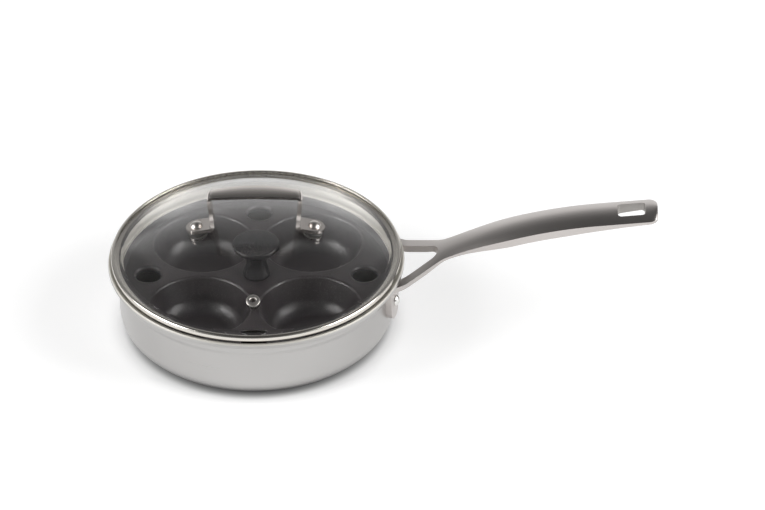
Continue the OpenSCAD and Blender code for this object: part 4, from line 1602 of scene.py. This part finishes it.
@dataclass
class Sky:
    """A white horizon under a dim ceiling, as the world.

    Args:
        levels: Height of a direction and the brightness there.
        side_from: Squared x from which the low sides are dimmer.
        side_top: Height up to which they are.
        end_from: Squared x from which the two ends are dimmer.
        back_from: y over which both come in.
        front_from: -y from which the camera's side is dimmer.
        dims: How much darker the low sides, the ends and the camera's side are.
        glows: Direction and brightness of each bright patch.
        glow_edge: Closeness to that direction at the patch's edge and in its middle.
    """

    levels: tuple[Span, ...] = ((0.0, 1.0), (0.31, 1.0), (0.39, 0.72), (0.5, 0.42), (0.65, 0.24), (0.8, 0.1),
                                (1.0, 0.05))
    side_from: Span = (0.06, 0.14)
    side_top: Span = (0.22, 0.34)
    end_from: Span = (0.20, 0.25)
    back_from: Span = (0.0, 0.4)
    front_from: Span = (0.45, 0.8)
    dims: Triple = (0.6, 0.5, 0.7)
    glows: tuple[tuple[Triple, float], ...] = (((-0.80, 0.25, 0.55), 0.3), ((0.80, 0.10, 0.60), 0.7))
    glow_edge: Span = (0.94, 0.985)

    def build(self) -> None:
        """Makes the world and gives it to the scene."""
        world = bpy.data.worlds.new("studio")
        bpy.context.scene.world = world
        graph = Graph(world)
        x, y, z = graph.split(graph.node("ShaderNodeTexCoord"))
        side_dim, end_dim, front_dim = self.dims
        sides = (x * x).stepped(*self.side_from) * (1.0 - z.stepped(*self.side_top)) * side_dim
        ends = (x * x).stepped(*self.end_from) * end_dim
        light = graph.node("ShaderNodeValToRGB", {"stops": self.levels}, {0: z})
        light = light * (1.0 - (sides + ends).clamped() * y.stepped(*self.back_from))
        light = light * (1.0 - (0.0 - y).stepped(*self.front_from) * front_dim)
        for way, level in self.glows:
            aim = Vector(way).normalized()
            light = light + (x * aim.x + y * aim.y + z * aim.z).stepped(*self.glow_edge) * level
        graph.show(graph.node("ShaderNodeBackground", {}, {0: graph.grey(light), 1: 1.0}))


@dataclass
class Studio:
    """Floor, light and camera, whose elevation, aims and roll are in radians."""

    floor_half: float = 9000.0
    floor_drop: float = 0.2
    lamps: tuple[Softbox, ...] = (
        Softbox("left softbox", (-1.72, -0.28, 1.32), (1.5, 1.1), 27.5),
        Softbox("right softbox", (1.80, -0.28, 1.32), (1.5, 1.1), 27.5),
        Softbox("left front lamp", (-1.78, -0.80, 0.92), (0.5, 0.4), 7.0),
        Softbox("right front lamp", (1.86, -0.80, 0.92), (0.5, 0.4), 7.0),
    )
    look_at: Triple = (0.0, 0.0, 52.0)
    distance: float = 3061.483
    elevation: float = 0.61792
    aim_x: float = 0.028646
    aim_y: float = -0.000327
    roll: float = -0.026824
    turn_deg: float = 2.4
    focal_px: float = 4405.17
    image_width_px: int = 765
    sensor_width: float = 36.0
    clip_m: Span = (0.1, 60.0)

    def floor(self) -> None:
        """Lays the pale floor."""
        shape = Shape()
        bmesh.ops.create_grid(shape.bm, x_segments=1, y_segments=1, size=self.floor_half)
        floor = shape.ended("studio_floor")
        floor.location.z = -self.floor_drop * MM
        floor.data.materials.append(FLOOR_PAINT.material())

    def camera(self) -> None:
        """Stands the camera where the photograph was taken from."""
        turn = Matrix.Rotation(math.radians(self.turn_deg), 3, "Z")
        back = turn @ Vector((0.0, -math.cos(self.elevation), math.sin(self.elevation)))
        right, ahead = turn @ Vector((1.0, 0.0, 0.0)), -back
        up = right.cross(ahead)
        ahead, right = swung(ahead, right, self.aim_x)
        ahead, up = swung(ahead, up, self.aim_y)
        right, up = swung(right, up, self.roll)
        data = bpy.data.cameras.new("camera")
        data.sensor_width = self.sensor_width
        data.lens = self.focal_px * self.sensor_width / self.image_width_px
        data.clip_start, data.clip_end = self.clip_m
        camera = bpy.data.objects.new("camera", data)
        matrix = Matrix((right, up, -ahead)).transposed().to_4x4()
        matrix.translation = (Vector(self.look_at) + back * self.distance) * MM
        camera.matrix_world = matrix
        bpy.context.scene.collection.objects.link(camera)
        bpy.context.scene.camera = camera

    def build(self) -> None:
        """Sets up the whole studio."""
        self.camera()
        self.floor()
        Sky().build()
        for lamp in self.lamps:
            lamp.hang()
        bpy.context.scene.view_settings.view_transform = "Standard"


def main() -> None:
    """Builds every sub-assembly in order."""
    logging.basicConfig(level=logging.INFO, format="%(message)s")
    Studio().build()
    shop, lid = Workshop(), Lid()
    for part in (Pan(), LongHandle(), Tray(), lid, LidHandle(lid)):
        part.build(shop)
    log.info("%d pieces made", shop.count)


if __name__ == "__main__":
    main()
